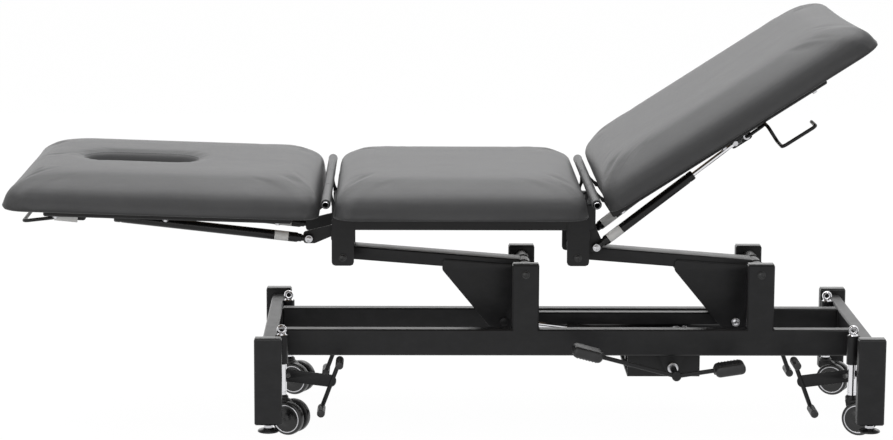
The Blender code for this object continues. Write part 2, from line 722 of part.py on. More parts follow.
def tie_bar(pivot):
    """The bar that makes both bell cranks turn together."""
    z = PIVOT_HEIGHT - CRANK_DROP
    x_head, x_foot = POST_HEAD_X - CRANK_REACH, POST_FOOT_X - CRANK_REACH
    y = TIE_BAR_WIDTH / 2 - TIE_BAR_SETBACK
    tie = bar("tie_bar", (x_head - TIE_BAR_END, y, z), (x_foot + TIE_BAR_END, y, z), TIE_BAR_WIDTH,
              TIE_BAR_HEIGHT)
    for x in (x_head, x_foot):
        cut(tie, cross_rod(f"tie_bore_{x:.2f}", x, z, -ARM_WIDTH, ARM_WIDTH, BORE_RADIUS))
    finish(tie, "black_steel", pivot)


TRAY_TOP = TRAY_BOTTOM + PLATE_THICKNESS
PUMP_HEAD_END = PUMP_CENTRE_X - PUMP_LENGTH / 2
PUMP_FOOT_END = PUMP_CENTRE_X + PUMP_LENGTH / 2


def pump_tray():
    """A channel hung between the side rails, with a hole for the lever's shaft."""
    half = RAIL_INNER - RUNNING_GAP
    x_low, x_high = PUMP_HEAD_END - PLATE_THICKNESS, PUMP_FOOT_END + PLATE_THICKNESS
    tray = block("pump_tray", (x_low, -half, TRAY_BOTTOM), (x_high, half, TRAY_TOP), 0)
    for side in SIDES:
        low, high = side_range(side, half - PLATE_THICKNESS, half)
        weld(tray, block(f"tray_side_{side}", (x_low, low, TRAY_BOTTOM + PLATE_THICKNESS / 2),
                         (x_high, high, TRAY_SIDE_TOP), 0))
    cut(tray, cross_rod("tray_bore", LEVER_SHAFT_X, LEVER_SHAFT_HEIGHT, -RAIL_SPREAD, 0,
                        LEVER_SHAFT_RADIUS + RUNNING_GAP))
    finish(tray, "black_steel")


def pump_body():
    """Oil tank, valve block and the fork that holds the ram's lower pin."""
    floor = TRAY_TOP + RUNNING_GAP
    tank_z = floor + PUMP_TANK_RADIUS
    block_start = PUMP_FOOT_END - PUMP_BLOCK_LENGTH
    body = block("pump_body", (block_start, 0, floor), (PUMP_FOOT_END, PUMP_BLOCK_WIDTH, PUMP_TOP))
    tank_ends = [(PUMP_HEAD_END, PUMP_TANK_Y, tank_z), (block_start + WELD_OVERLAP, PUMP_TANK_Y, tank_z)]
    weld(body, rod("tank", *tank_ends, PUMP_TANK_RADIUS))
    inner = RAM_RADIUS + RUNNING_GAP * 2
    back_wall = RAM_PIVOT_X + RAM_EYE_RADIUS + RUNNING_GAP * 4
    for sign in (-1, 1):
        low, high = sorted((RAM_OFFSET_Y + sign * inner, RAM_OFFSET_Y + sign * (inner + RAM_EAR_WIDTH)))
        corner = (RAM_PIVOT_X - RAM_EYE_RADIUS, low, RAM_PIVOT_HEIGHT - RAM_EYE_RADIUS)
        weld(body, block(f"ram_ear_{sign}", corner,
                         (PUMP_FOOT_END - TUBE_EDGE, high, RAM_PIVOT_HEIGHT + RAM_EYE_RADIUS), 0))
    weld(body, block("ram_back", (back_wall, RAM_OFFSET_Y - inner - RAM_EAR_WIDTH / 2, floor + PLATE_THICKNESS),
                     (PUMP_FOOT_END - PLATE_THICKNESS, TUBE_WIDTH, PUMP_TOP - TUBE_EDGE), 0))
    weld(body, cross_rod("ram_pin", RAM_PIVOT_X, RAM_PIVOT_HEIGHT, RAM_OFFSET_Y - inner - RAM_EAR_WIDTH / 2,
                         RAM_OFFSET_Y + inner + RAM_EAR_WIDTH / 2, RAM_PIN_RADIUS, SMALL_SIDES))
    cut(body, cross_rod("pump_bore", LEVER_SHAFT_X, LEVER_SHAFT_HEIGHT, -RAIL_SPREAD, PUMP_TANK_Y,
                        LEVER_SHAFT_RADIUS + RUNNING_GAP))
    finish(body, "black_steel")


def ram_direction():
    crank = Vector((POST_HEAD_X - CRANK_REACH, 0, PIVOT_HEIGHT - CRANK_DROP))
    return crank - Vector((RAM_PIVOT_X, 0, RAM_PIVOT_HEIGHT))


def ram(body_pivot, rod_pivot):
    """The ram's barrel on the pump's pin, and its rod up to the head bell crank."""
    run = ram_direction()
    along = run.normalized()
    base = Vector((RAM_PIVOT_X, RAM_OFFSET_Y, RAM_PIVOT_HEIGHT))
    barrel = rod("ram_body", base, base + along * RAM_BODY_LENGTH, RAM_RADIUS)
    y_low, y_high = RAM_OFFSET_Y - RAM_RADIUS, RAM_OFFSET_Y + RAM_RADIUS
    weld(barrel, cross_rod("ram_eye", base.x, base.z, y_low, y_high, RAM_EYE_RADIUS))
    cut(barrel, cross_rod("ram_pin_bore", base.x, base.z, y_low - CUT_OVERRUN, y_high + CUT_OVERRUN,
                          around(RAM_PIN_RADIUS, SMALL_SIDES), SMALL_SIDES))
    tip = base + along * run.length
    tail = tip - along * RAM_ROD_LENGTH
    cut(barrel, rod("ram_bore", tail - along * RAM_RADIUS * 2, base + along * (RAM_BODY_LENGTH + CUT_OVERRUN),
                    RAM_ROD_RADIUS + RUNNING_GAP))
    finish(barrel, "black_steel", body_pivot)
    piston = rod("ram_rod", tail, tip, RAM_ROD_RADIUS)
    clear = GUSSET_INNER_Y - RUNNING_GAP * 2
    weld(piston, cross_rod("ram_rod_eye", tip.x, tip.z, -clear, -TIE_BAR_SETBACK * 4, RAM_EYE_RADIUS))
    finish(piston, "chrome", rod_pivot)


def pump_lever(pivot):
    """The rocking foot lever: a bent rod across the end of a shaft into the pump."""
    centre = Vector((LEVER_SHAFT_X, -LEVER_FACE_Y, LEVER_SHAFT_HEIGHT))
    raise_tip = centre + Vector((-RAISE_PEDAL_REACH, 0, RAISE_PEDAL_RISE))
    lower_tip = centre + Vector((LOWER_PEDAL_REACH, 0, LOWER_PEDAL_RISE))
    bent = wire("pump_lever", (raise_tip, centre, lower_tip), LEVER_ROD_RADIUS, LEVER_BEND_RADIUS)
    weld(bent, cross_rod("lever_shaft", centre.x, centre.z, centre.y, LEVER_SHAFT_END_Y, LEVER_SHAFT_RADIUS))
    weld(bent, cross_rod("lever_boss", centre.x, centre.z, centre.y - LEVER_SHAFT_RADIUS,
                         centre.y + LEVER_SHAFT_RADIUS * 2, LEVER_SHAFT_RADIUS * LEVER_BOSS_SHARE))
    finish(bent, "black_steel", pivot)
    foot_pedal("pedal_raise", centre, raise_tip, pivot)
    foot_pedal("pedal_lower", centre, lower_tip, pivot)


def foot_pedal(name, centre, tip, pivot):
    """A rubber pedal pushed over the end of the lever's rod."""
    along = (tip - centre).normalized()
    pedal = bar(name, tip - along * PEDAL_LENGTH / 2, tip + along * PEDAL_LENGTH / 2, PEDAL_WIDTH, PEDAL_HEIGHT,
                PEDAL_EDGE)
    bore = rod(f"{name}_bore", tip - along * PEDAL_LENGTH, tip + along * RUNNING_GAP,
               LEVER_ROD_RADIUS + RUNNING_GAP, SMALL_SIDES)
    finish(cut(pedal, bore), "black_rubber", pivot)


def caster_stem(end, side, pivot):
    """A chrome stem that slides in its guide, with an eye on top and a pin for the lever's slot."""
    x, y = ENDS[end] * CASTER_X, SIDES[side] * CASTER_Y
    eye_z = BEAM_TOP + STEM_EYE_RADIUS + RUNNING_GAP * 3
    stem = rod(f"caster_stem_{end}_{side}", (x, y, STEM_BOTTOM), (x, y, STEM_TOP), STEM_RADIUS)
    half = STEM_RADIUS / 2
    weld(stem, cross_rod(f"stem_eye_{end}_{side}", x, eye_z, y - half, y + half, STEM_EYE_RADIUS))
    pin_end = SIDES[side] * (LEVER_PLATE_Y - PLATE_THICKNESS)
    weld(stem, cross_rod(f"stem_pin_{end}_{side}", x, PIN_HEIGHT, *sorted((y, pin_end)), STEM_PIN_RADIUS,
                         SMALL_SIDES))
    cut(stem, cross_rod(f"eye_bore_{end}_{side}", x, eye_z, y - STEM_RADIUS, y + STEM_RADIUS,
                        STEM_EYE_RADIUS * STEM_EYE_HOLE_SHARE, SMALL_SIDES))
    finish(stem, "chrome", pivot)


def caster_fork(end, side, pivot):
    """The collar under the stem and the web between the two wheels."""
    web_half = WHEEL_SPREAD / 2 - WHEEL_THICKNESS - RUNNING_GAP * 2
    collar = rod(f"caster_fork_{end}_{side}", (0, 0, FORK_COLLAR_BOTTOM), (0, 0, STEM_BOTTOM - RUNNING_GAP),
                 FORK_COLLAR_RADIUS)
    top = FORK_COLLAR_BOTTOM + FORK_WEB_MARGIN
    hub_low, hub_high = WHEEL_RADIUS - FORK_HUB_RADIUS, WHEEL_RADIUS + FORK_HUB_RADIUS
    outline = [(-FORK_COLLAR_RADIUS, top), (-FORK_COLLAR_RADIUS * FORK_NECK_SHARE, hub_high),
               (CASTER_TRAIL - FORK_HUB_RADIUS, hub_low), (CASTER_TRAIL + FORK_HUB_RADIUS, hub_low),
               (CASTER_TRAIL + FORK_HUB_RADIUS, hub_high), (FORK_COLLAR_RADIUS, top)]
    hole = circle_outline(CASTER_TRAIL, WHEEL_RADIUS, WHEEL_HUB_RADIUS + RUNNING_GAP)
    weld(collar, plate(f"fork_web_{end}_{side}", rounded_outline(outline, FORK_HUB_RADIUS / 3), -web_half,
                       web_half, [hole]))
    finish(collar, "black_plastic", pivot, local=True)


def wheel_profile():
    """Half the section of a twin wheel, from its outer cap in to the hub barrel."""
    outer, inner = WHEEL_SPREAD / 2, WHEEL_SPREAD / 2 - WHEEL_THICKNESS
    rim = WHEEL_RADIUS - WHEEL_RIM
    return [(0, outer - WHEEL_DISH / 2), (WHEEL_CAP_RADIUS, outer - WHEEL_DISH / 2),
            (rim - WHEEL_DISH, outer - WHEEL_DISH), (rim, outer), (WHEEL_RADIUS - WHEEL_EDGE, outer),
            (WHEEL_RADIUS, outer - WHEEL_EDGE), (WHEEL_RADIUS, inner), (WHEEL_HUB_RADIUS, inner)]


def turned(name, profile):
    """A profile of radius and height turned about local Z, laid along Y."""
    mesh = bpy.data.meshes.new(name)
    mesh.from_pydata([(r, 0, z) for r, z in profile], [(i, i + 1) for i in range(len(profile) - 1)], [])
    piece = bpy.data.objects.new(name, mesh)
    screw = piece.modifiers.new("turn", "SCREW")
    screw.steps = screw.render_steps = WHEEL_STEPS
    screw.use_merge_vertices = True
    screw.merge_threshold = RUNNING_GAP / 10
    CUTTERS.objects.link(piece)
    return piece


def caster_wheels(end, side, pivot):
    """Twin wheels joined by the barrel that turns in the fork's web."""
    half = wheel_profile()
    profile = half + [(r, -z) for r, z in reversed(half)]
    wheels = turned(f"caster_wheels_{end}_{side}", profile)
    wheels.rotation_euler = (math.pi / 2, 0, 0)
    finish(wheels, "black_rubber", pivot, local=True)


def wheel_lever(end, pivot):
    """A cross shaft with a slotted lever and a two-way treadle on each side."""
    sign = ENDS[end]
    x, z = sign * LEVER_PIVOT_X, LEVER_PIVOT_HEIGHT
    reach_y = LEVER_LUG_Y + PLATE_THICKNESS + LEVER_CROSS_RADIUS
    shaft = cross_rod(f"wheel_lever_{end}", x, z, -reach_y, reach_y, LEVER_CROSS_RADIUS)
    for side in SIDES:
        low, high = side_range(side, LEVER_PLATE_Y, LEVER_PLATE_Y + PLATE_THICKNESS)
        weld(shaft, lever_plate(end, side, low, high))
        middle = (low + high) / 2
        top = (sign * TREADLE_TOP_X, middle, TREADLE_TOP_HEIGHT)
        foot = (sign * TREADLE_FOOT_X, middle, TREADLE_FOOT_HEIGHT)
        weld(shaft, rod(f"treadle_{end}_{side}", top, foot, TREADLE_ROD_RADIUS, SMALL_SIDES))
        for spot in (top, foot):
            pad_end = middle + SIDES[side] * TREADLE_PAD_LENGTH
            inner = middle - SIDES[side] * TREADLE_PAD_RADIUS * TREADLE_PAD_COVER_SHARE
            weld(shaft, cross_rod(f"pad_{end}_{side}_{spot[2]:.2f}", spot[0], spot[2],
                                  *sorted((inner, pad_end)), TREADLE_PAD_RADIUS, SMALL_SIDES))
    finish(shaft, "black_steel", pivot)


def lever_plate(end, side, low, high):
    """The flat lever with a slot for the stem's pin."""
    sign, half = ENDS[end], LEVER_PLATE_HEIGHT / 2
    along = Vector((-sign * LEVER_REACH, -LEVER_DROP)).normalized()
    across = Vector((-along.y, along.x))
    start = Vector((sign * LEVER_PIVOT_X, LEVER_PIVOT_HEIGHT)) - along * half
    finish_point = start + along * (LEVER_REACH + half * 2)
    corners = [start - across * half, finish_point - across * half, finish_point + across * half,
               start + across * half]
    reach = (LEVER_PIVOT_X - CASTER_X) / abs(along.x) + STEM_PIN_RADIUS
    centre = Vector((sign * LEVER_PIVOT_X, LEVER_PIVOT_HEIGHT)) + along * reach
    long, wide = along * LEVER_SLOT_LENGTH / 2, across * LEVER_SLOT_WIDTH / 2
    slot = [centre - long - wide, centre + long - wide, centre + long + wide, centre - long + wide]
    outline = rounded_outline([tuple(point) for point in corners], half * LEVER_END_SHARE)
    hole = rounded_outline([tuple(point) for point in slot], LEVER_SLOT_WIDTH * LEVER_SLOT_END_SHARE)
    return plate(f"lever_plate_{end}_{side}", outline, low, high, [hole])


def ear_outline(hinge_x, sign, hinge_z, heel):
    """A hinge ear that slips between two cushions: round at the hinge, then its two edges and its heel."""
    turns = [math.pi * step / ROUND_SIDES * 2 for step in range(ROUND_SIDES // 2 + 1)]
    crown = [(HINGE_EAR_RADIUS * math.cos(turn), HINGE_EAR_RADIUS * math.sin(turn)) for turn in turns]
    own = [(reach, -drop) for reach, drop in reversed(EAR_OWN_EDGE)]
    other = [(reach, -drop) for reach, drop in EAR_OTHER_EDGE]
    return [(hinge_x + sign * x, hinge_z + z) for x, z in own + crown + other + heel]


def centre_frame(pivot):
    """The steel frame of the middle section: rails, tabs, hinge ears, hinge tubes and strut brackets."""
    outer, inner = CENTRE_FRAME_OUTER, CENTRE_FRAME_OUTER - TUBE_WIDTH
    frame = block("centre_frame", (CENTRE_FRAME_HEAD_END, inner, FRAME_BOTTOM),
                  (CENTRE_FRAME_BACK_END, outer, FRAME_TOP))
    weld(frame, block("centre_rail_near", (CENTRE_FRAME_HEAD_END, -outer, FRAME_BOTTOM),
                      (CENTRE_FRAME_BACK_END, -inner, FRAME_TOP)))
    middle = (CENTRE_FRAME_HEAD_END + CENTRE_FRAME_BACK_END - TUBE_WIDTH) / 2
    for x in (CENTRE_FRAME_HEAD_END + TUBE_EDGE, middle, CENTRE_FRAME_BACK_END - TUBE_WIDTH - TUBE_EDGE):
        weld(frame, block(f"centre_cross_{x:.2f}", (x, -outer + TUBE_EDGE, FRAME_BOTTOM + TUBE_EDGE),
                          (x + TUBE_WIDTH, outer - TUBE_EDGE, FRAME_TOP - TUBE_EDGE), 0))
    for side in SIDES:
        for x in (POST_HEAD_X - ARM_RUN, POST_FOOT_X - ARM_RUN):
            weld(frame, tab(x, side))
        for sign, hinge_x in ((-1, HEAD_HINGE_X), (1, BACK_HINGE_X)):
            weld(frame, centre_ear(sign, hinge_x, side), strut_bracket(sign, hinge_x, side),
                 strut_pin(sign, hinge_x, side))
    for hinge_x in (HEAD_HINGE_X, BACK_HINGE_X):
        half = SECTION_WIDTH / 2
        weld(frame, cross_rod(f"hinge_tube_{hinge_x:.2f}", hinge_x, HINGE_HEIGHT, -half, half,
                              HINGE_TUBE_RADIUS))
        cut(frame, cross_rod(f"hinge_hollow_{hinge_x:.2f}", hinge_x, HINGE_HEIGHT, -half * 2, half * 2,
                             HINGE_TUBE_RADIUS - HINGE_TUBE_WALL))
    for x in (POST_HEAD_X - ARM_RUN, POST_FOOT_X - ARM_RUN):
        cut(frame, cross_rod(f"tab_bore_{x:.2f}", x, TAB_PIVOT_HEIGHT, -HALF_WIDTH, HALF_WIDTH, BORE_RADIUS))
    finish(frame, "black_steel", pivot)
    for end, post_x in (("head", POST_HEAD_X), ("foot", POST_FOOT_X)):
        shaft = headed_pin(f"tab_shaft_{end}", post_x - ARM_RUN, TAB_PIVOT_HEIGHT, -TAB_OUTER_Y, TAB_OUTER_Y)
        finish(shaft, "black_steel", pivot)


def tab(x, side):
    """A plate that hangs from the middle frame to one arm's upper pivot."""
    half = TAB_WIDTH / 2
    foot, top = TAB_PIVOT_HEIGHT - TAB_BELOW_PIVOT, FRAME_BOTTOM + TUBE_WIDTH
    outline = [(x - half, foot), (x + half, foot), (x + half, top), (x - half, top)]
    return plate(f"tab_{side}_{x:.2f}", rounded_outline(outline, TAB_CORNER),
                 *side_range(side, TAB_INNER_Y, TAB_OUTER_Y))


def centre_ear(sign, hinge_x, side):
    """A plate that rises from the middle frame to carry the hinge tube."""
    heel_drop = HINGE_ABOVE_FRAME + TUBE_WIDTH
    heel = [(EAR_HEEL_REACH / 2, -heel_drop), (EAR_HEEL_REACH, -heel_drop),
            (EAR_HEEL_REACH, -HINGE_ABOVE_FRAME - TUBE_EDGE)]
    outline = ear_outline(hinge_x, -sign, HINGE_HEIGHT, heel)
    low, high = side_range(side, CENTRE_EAR_Y, CENTRE_EAR_Y + EAR_THICKNESS)
    return plate(f"centre_ear_{sign}_{side}", outline, low, high)


STRUT_LAYOUT = {-1: (HEAD_STRUT_OFFSET, HEAD_STRUT_DROP, CENTRE_FRAME_HEAD_END),
                1: (BACK_STRUT_OFFSET, BACK_STRUT_DROP, CENTRE_FRAME_BACK_END)}


def strut_foot(sign, hinge_x):
    """Where a pair of struts is pinned to the middle frame."""
    offset, drop, _ = STRUT_LAYOUT[sign]
    return Vector((hinge_x + offset, 0, HINGE_HEIGHT - drop))


def strut_bracket(sign, hinge_x, side):
    pin, radius = strut_foot(sign, hinge_x), STRUT_CLEVIS_RADIUS
    frame_end = STRUT_LAYOUT[sign][2]
    top = FRAME_BOTTOM + BRACKET_TOP_OVERLAP
    outline = [(pin.x + sign * radius, pin.z + radius), (pin.x + sign * radius, pin.z - radius),
               (pin.x - sign * radius, pin.z - radius), (frame_end - sign * TUBE_HEIGHT, top), (frame_end, top)]
    return plate(f"strut_bracket_{sign}_{side}", rounded_outline(outline, radius / 2),
                 *side_range(side, STRUT_PLATE_Y, STRUT_PLATE_Y + PLATE_THICKNESS))


def strut_pin(sign, hinge_x, side):
    pin = strut_foot(sign, hinge_x)
    outer = STRUT_Y + STRUT_EYE_WIDTH / 2 + RUNNING_GAP
    return cross_rod(f"strut_pin_{sign}_{side}", pin.x, pin.z, *side_range(side, STRUT_PLATE_Y, outer),
                     STRUT_PIN_RADIUS, SMALL_SIDES)


def face_hole_outline(grow=0.0):
    """The stadium outline of the face hole in the head section's own frame."""
    half_length, half_width = FACE_HOLE_LENGTH / 2 + grow, FACE_HOLE_WIDTH / 2 + grow
    corners = [(x, y) for x, y in ((-half_length, -half_width), (half_length, -half_width),
                                   (half_length, half_width), (-half_length, half_width))]
    outline = rounded_outline(corners, half_width * FACE_HOLE_CORNER_SHARE, 2 * CORNER_STEPS)
    return [(x - FACE_HOLE_CENTRE, y) for x, y in outline]


def board_outlines(low_x, high_x, face_hole, grow=0.0):
    """The outline of a board and of any hole in it, grown for the pocket that holds it."""
    inset = BOARD_INSET - grow
    low, high, half = low_x + inset, high_x - inset, SECTION_WIDTH / 2 - inset
    outline = rounded_outline([(low, -half), (high, -half), (high, half), (low, half)], BOARD_CORNER + grow)
    return [outline] + ([face_hole_outline(FACE_HOLE_LIP - grow)] if face_hole else [])


def board(name, low_x, high_x, z_low, pivot, local, face_hole=False):
    slab = level_prism(name, board_outlines(low_x, high_x, face_hole), z_low, z_low + BOARD_THICKNESS)
    finish(slab, "plywood", pivot, local)


def cushion_ring(half_x, half_y, corner, draw_in):
    """Points round a cushion at one height: corner arcs joined by slightly drawn-in sides."""
    ring = []
    for quarter in range(4):
        start = math.pi / 2 * quarter
        sign_x, sign_y = (1, -1, -1, 1)[quarter], (1, 1, -1, -1)[quarter]
        centre = Vector((sign_x * (half_x - corner), sign_y * (half_y - corner)))
        turns = [start + math.pi / 2 * step / CUSHION_CORNER_STEPS for step in range(CUSHION_CORNER_STEPS + 1)]
        ring += [centre + Vector((math.cos(turn), math.sin(turn))) * corner for turn in turns]
    full, sides = [], CUSHION_CORNER_STEPS + 1
    for quarter in range(4):
        arc = ring[quarter * sides:(quarter + 1) * sides]
        after = ring[(quarter + 1) * sides % len(ring)]
        inward = Vector((-math.cos(math.pi / 2 * (quarter + 1)), -math.sin(math.pi / 2 * (quarter + 1))))
        shares = [step / CUSHION_SIDE_STEPS for step in range(1, CUSHION_SIDE_STEPS)]
        full += arc
        full += [arc[-1].lerp(after, share) + inward * draw_in * math.sin(math.pi * share) for share in shares]
    return full


def cushion_rings(low_x, high_x, z_low, thickness):
    """The rings of a padded cushion from its underside over its sides to its crown."""
    half_x, half_y = (high_x - low_x) / 2, SECTION_WIDTH / 2
    levels = [(share * CUSHION_EDGE, height, CUSHION_DRAW_IN) for share, height in CUSHION_SIDE_SHARES]
    levels += [(share * half_y, height, 0.0) for share, height in CUSHION_CROWN_SHARES]
    for inset, height, draw_in in levels:
        corner = max(CUSHION_PLAN_CORNER - inset / 2, CUSHION_LEAST_CORNER)
        ring = cushion_ring(half_x - inset, half_y - inset, corner, draw_in)
        yield [Vector((point.x + (low_x + high_x) / 2, point.y, z_low + height * thickness)) for point in ring]


def cushion(name, low_x, high_x, z_low, thickness, pivot, local, face_hole=False):
    """A padded cushion with a pocket in its underside for the board."""
    shape = bmesh.new()
    outlines = cushion_rings(low_x, high_x, z_low, thickness)
    rings = [[shape.verts.new(point) for point in ring] for ring in outlines]
    for lower, upper in zip(rings, rings[1:]):
        for index in range(len(lower)):
            after = (index + 1) % len(lower)
            shape.faces.new((lower[index], lower[after], upper[after], upper[index]))
    shape.faces.new(rings[0])
    shape.faces.new(rings[-1])
    piece = add_mesh(name, shape)
    if face_hole:
        cut(piece, level_prism(f"{name}_hole", [face_hole_outline()], z_low - CUT_OVERRUN,
                               z_low + thickness + CUT_OVERRUN))
    cut(piece, level_prism(f"{name}_pocket", board_outlines(low_x, high_x, face_hole, RUNNING_GAP),
                           z_low - CUT_OVERRUN, z_low + BOARD_THICKNESS + RUNNING_GAP))
    finish(piece, "grey_vinyl", pivot, local)


# What differs between the head section and the back section
SECTIONS = {
    "head": {"sign": -1, "hinge_x": HEAD_HINGE_X, "tilt": HEAD_TILT, "end": HEAD_CUSHION_END,
             "thickness": CUSHION_THICKNESS, "member": (HEAD_MEMBER_START, HEAD_MEMBER_END),
             "plate_x": HEAD_CROSS_PLATE_X, "strut_top": HEAD_STRUT_TOP, "handle": HEAD_HANDLE_PIVOT,
             "handle_end": HEAD_HANDLE_END, "body": HEAD_STRUT_BODY, "rod": HEAD_STRUT_ROD,
             "bore": HEAD_STRUT_BORE, "release": HEAD_RELEASE_LENGTH},
    "back": {"sign": 1, "hinge_x": BACK_HINGE_X, "tilt": BACK_TILT, "end": BACK_CUSHION_END,
             "thickness": BACK_CUSHION_THICKNESS, "member": (BACK_MEMBER_START, BACK_MEMBER_END),
             "plate_x": BACK_CROSS_PLATE_X, "strut_top": BACK_STRUT_TOP, "handle": BACK_HANDLE_PIVOT,
             "handle_end": BACK_HANDLE_END, "body": BACK_STRUT_BODY, "rod": BACK_STRUT_ROD,
             "bore": BACK_STRUT_BORE, "release": BACK_RELEASE_LENGTH},
}


def section_ear(name, side):
    """A plate from the section's side member, between the cushions, up to the hinge tube."""
    section = SECTIONS[name]
    far = section["member"][0] + TUBE_HEIGHT
    heel = [(EAR_HEEL_REACH, -EAR_HEEL_DROP), (far, -EAR_HEEL_DROP),
            (far, -HINGE_ABOVE_FRAME - RUNNING_GAP * 2)]
    outline = ear_outline(0, section["sign"], 0, heel)
    return plate(f"{name}_ear_{side}", outline, *side_range(side, SECTION_EAR_Y, SECTION_EAR_Y + EAR_THICKNESS),
                 [circle_outline(0, 0, HINGE_BORE)])


def bracket_span(name):
    """How far the brackets of a section reach outwards, from the strut's pin to past the handle's pivot."""
    section = SECTIONS[name]
    outer = section["handle"][0] + BRACKET_MARGIN
    if name == "head":
        outer = max(outer, section["member"][1] - TUBE_WIDTH + TUBE_EDGE * 2)
    return section["strut_top"][0] - BRACKET_MARGIN, outer


def handle_bracket(name, side):
    """A plate for the handle's pivot, beside the strut's release head."""
    section = SECTIONS[name]
    sign, margin = section["sign"], BRACKET_MARGIN
    (_, top_z), (pivot_x, pivot_z) = section["strut_top"], section["handle"]
    inner, outer = bracket_span(name)
    hold = TUBE_WIDTH / 2 if name == "head" else CROSS_PLATE_THICKNESS / 2
    low, high = min(top_z, pivot_z) - margin * BRACKET_FOOT_SHARE, -HINGE_ABOVE_FRAME - hold
    outline = [(sign * inner, low), (sign * outer, low), (sign * outer, high), (sign * inner, high)]
    hole = circle_outline(sign * pivot_x, pivot_z, HANDLE_RADIUS + RUNNING_GAP, SMALL_SIDES)
    return plate(f"{name}_bracket_{side}", rounded_outline(outline, margin / 2),
                 *side_range(side, STRUT_PLATE_Y, STRUT_PLATE_Y + PLATE_THICKNESS), [hole])


def section_frame(name, pivot):
    """The steel frame under a tilting section, drawn in the section's own frame."""
    section = SECTIONS[name]
    sign = section["sign"]
    start, end = section["member"]
    top, bottom = -HINGE_ABOVE_FRAME, -HINGE_ABOVE_FRAME - SECTION_MEMBER_HEIGHT
    outer = SECTION_MEMBER_Y + SECTION_MEMBER_WIDTH
    frame = mirrored_block(f"{name}_frame", sign, start, end, (SECTION_MEMBER_Y, outer), (bottom, top))
    weld(frame, mirrored_block(f"{name}_member_near", sign, start, end, (-outer, -SECTION_MEMBER_Y),
                               (bottom, top)))
    reach = SECTION_MEMBER_Y + TUBE_WIDTH / 2
    plates = [(section["plate_x"], section["plate_x"] + CROSS_PLATE_WIDTH)]
    if name == "back":
        plates.append(bracket_span(name))
    for low, high in plates:
        weld(frame, mirrored_block(f"{name}_cross_plate_{low:.2f}", sign, low, high, (-reach, reach),
                                   (top - CROSS_PLATE_THICKNESS, top - RUNNING_GAP), 0))
    weld(frame, mirrored_block(f"{name}_cross_tube", sign, end - TUBE_WIDTH - TUBE_EDGE, end - TUBE_EDGE,
                               (-reach, reach), (bottom + TUBE_EDGE / 3, top - TUBE_EDGE / 3), 0))
    for side in SIDES:
        weld(frame, section_ear(name, side), handle_bracket(name, side))
    finish(frame, "black_steel", pivot, local=True)


def tilting_section(name, pivot):
    """Frame, board and cushion of the head or the back section."""
    section = SECTIONS[name]
    low_x, high_x = sorted((section["sign"] * CUSHION_START, section["sign"] * section["end"]))
    section_frame(name, pivot)
    board(f"{name}_board", low_x, high_x, UNDERSIDE, pivot, True, name == "head")
    cushion(f"{name}_cushion", low_x, high_x, UNDERSIDE, section["thickness"], pivot, True, name == "head")


def hinge_sleeve(name, pivot):
    """A vinyl sleeve over the hinge tube, open below where the ears come up."""
    x, half = SECTIONS[name]["hinge_x"], SECTION_WIDTH / 2 - SLEEVE_OVERHANG
    outer = SLEEVE_RIM_RADIUS
    sleeve = cross_rod(f"hinge_sleeve_{name}", x, HINGE_HEIGHT, -half, half, outer)
    cut(sleeve, cross_rod(f"sleeve_bore_{name}", x, HINGE_HEIGHT, -half * 2, half * 2, HINGE_BORE))
    for side in SIDES:
        low, high = side_range(side, CENTRE_EAR_Y - RUNNING_GAP, SECTION_EAR_Y + EAR_THICKNESS + RUNNING_GAP)
        slot = block(f"sleeve_slot_{name}_{side}", (x - outer * 2, low, HINGE_HEIGHT - outer * 2),
                     (x + outer * 2, high, HINGE_HEIGHT + HINGE_EAR_RADIUS + RUNNING_GAP * 2), 0)
        cut(sleeve, slot)
    finish(sleeve, "grey_vinyl", pivot)


def section_world(name, x, z):
    """A point given in a tilted section's own frame, in the world frame."""
    section = SECTIONS[name]
    turn = Matrix.Rotation(-section["sign"] * section["tilt"], 3, "Y")
    return Vector((section["hinge_x"], 0, HINGE_HEIGHT)) + turn @ Vector((section["sign"] * x, 0, z))


def strut_line(name):
    """Foot, length and turn of a strut at rest."""
    section = SECTIONS[name]
    foot = strut_foot(section["sign"], section["hinge_x"])
    run = section_world(name, *section["strut_top"]) - foot
    return foot, run.length, math.atan2(-run.z, run.x)


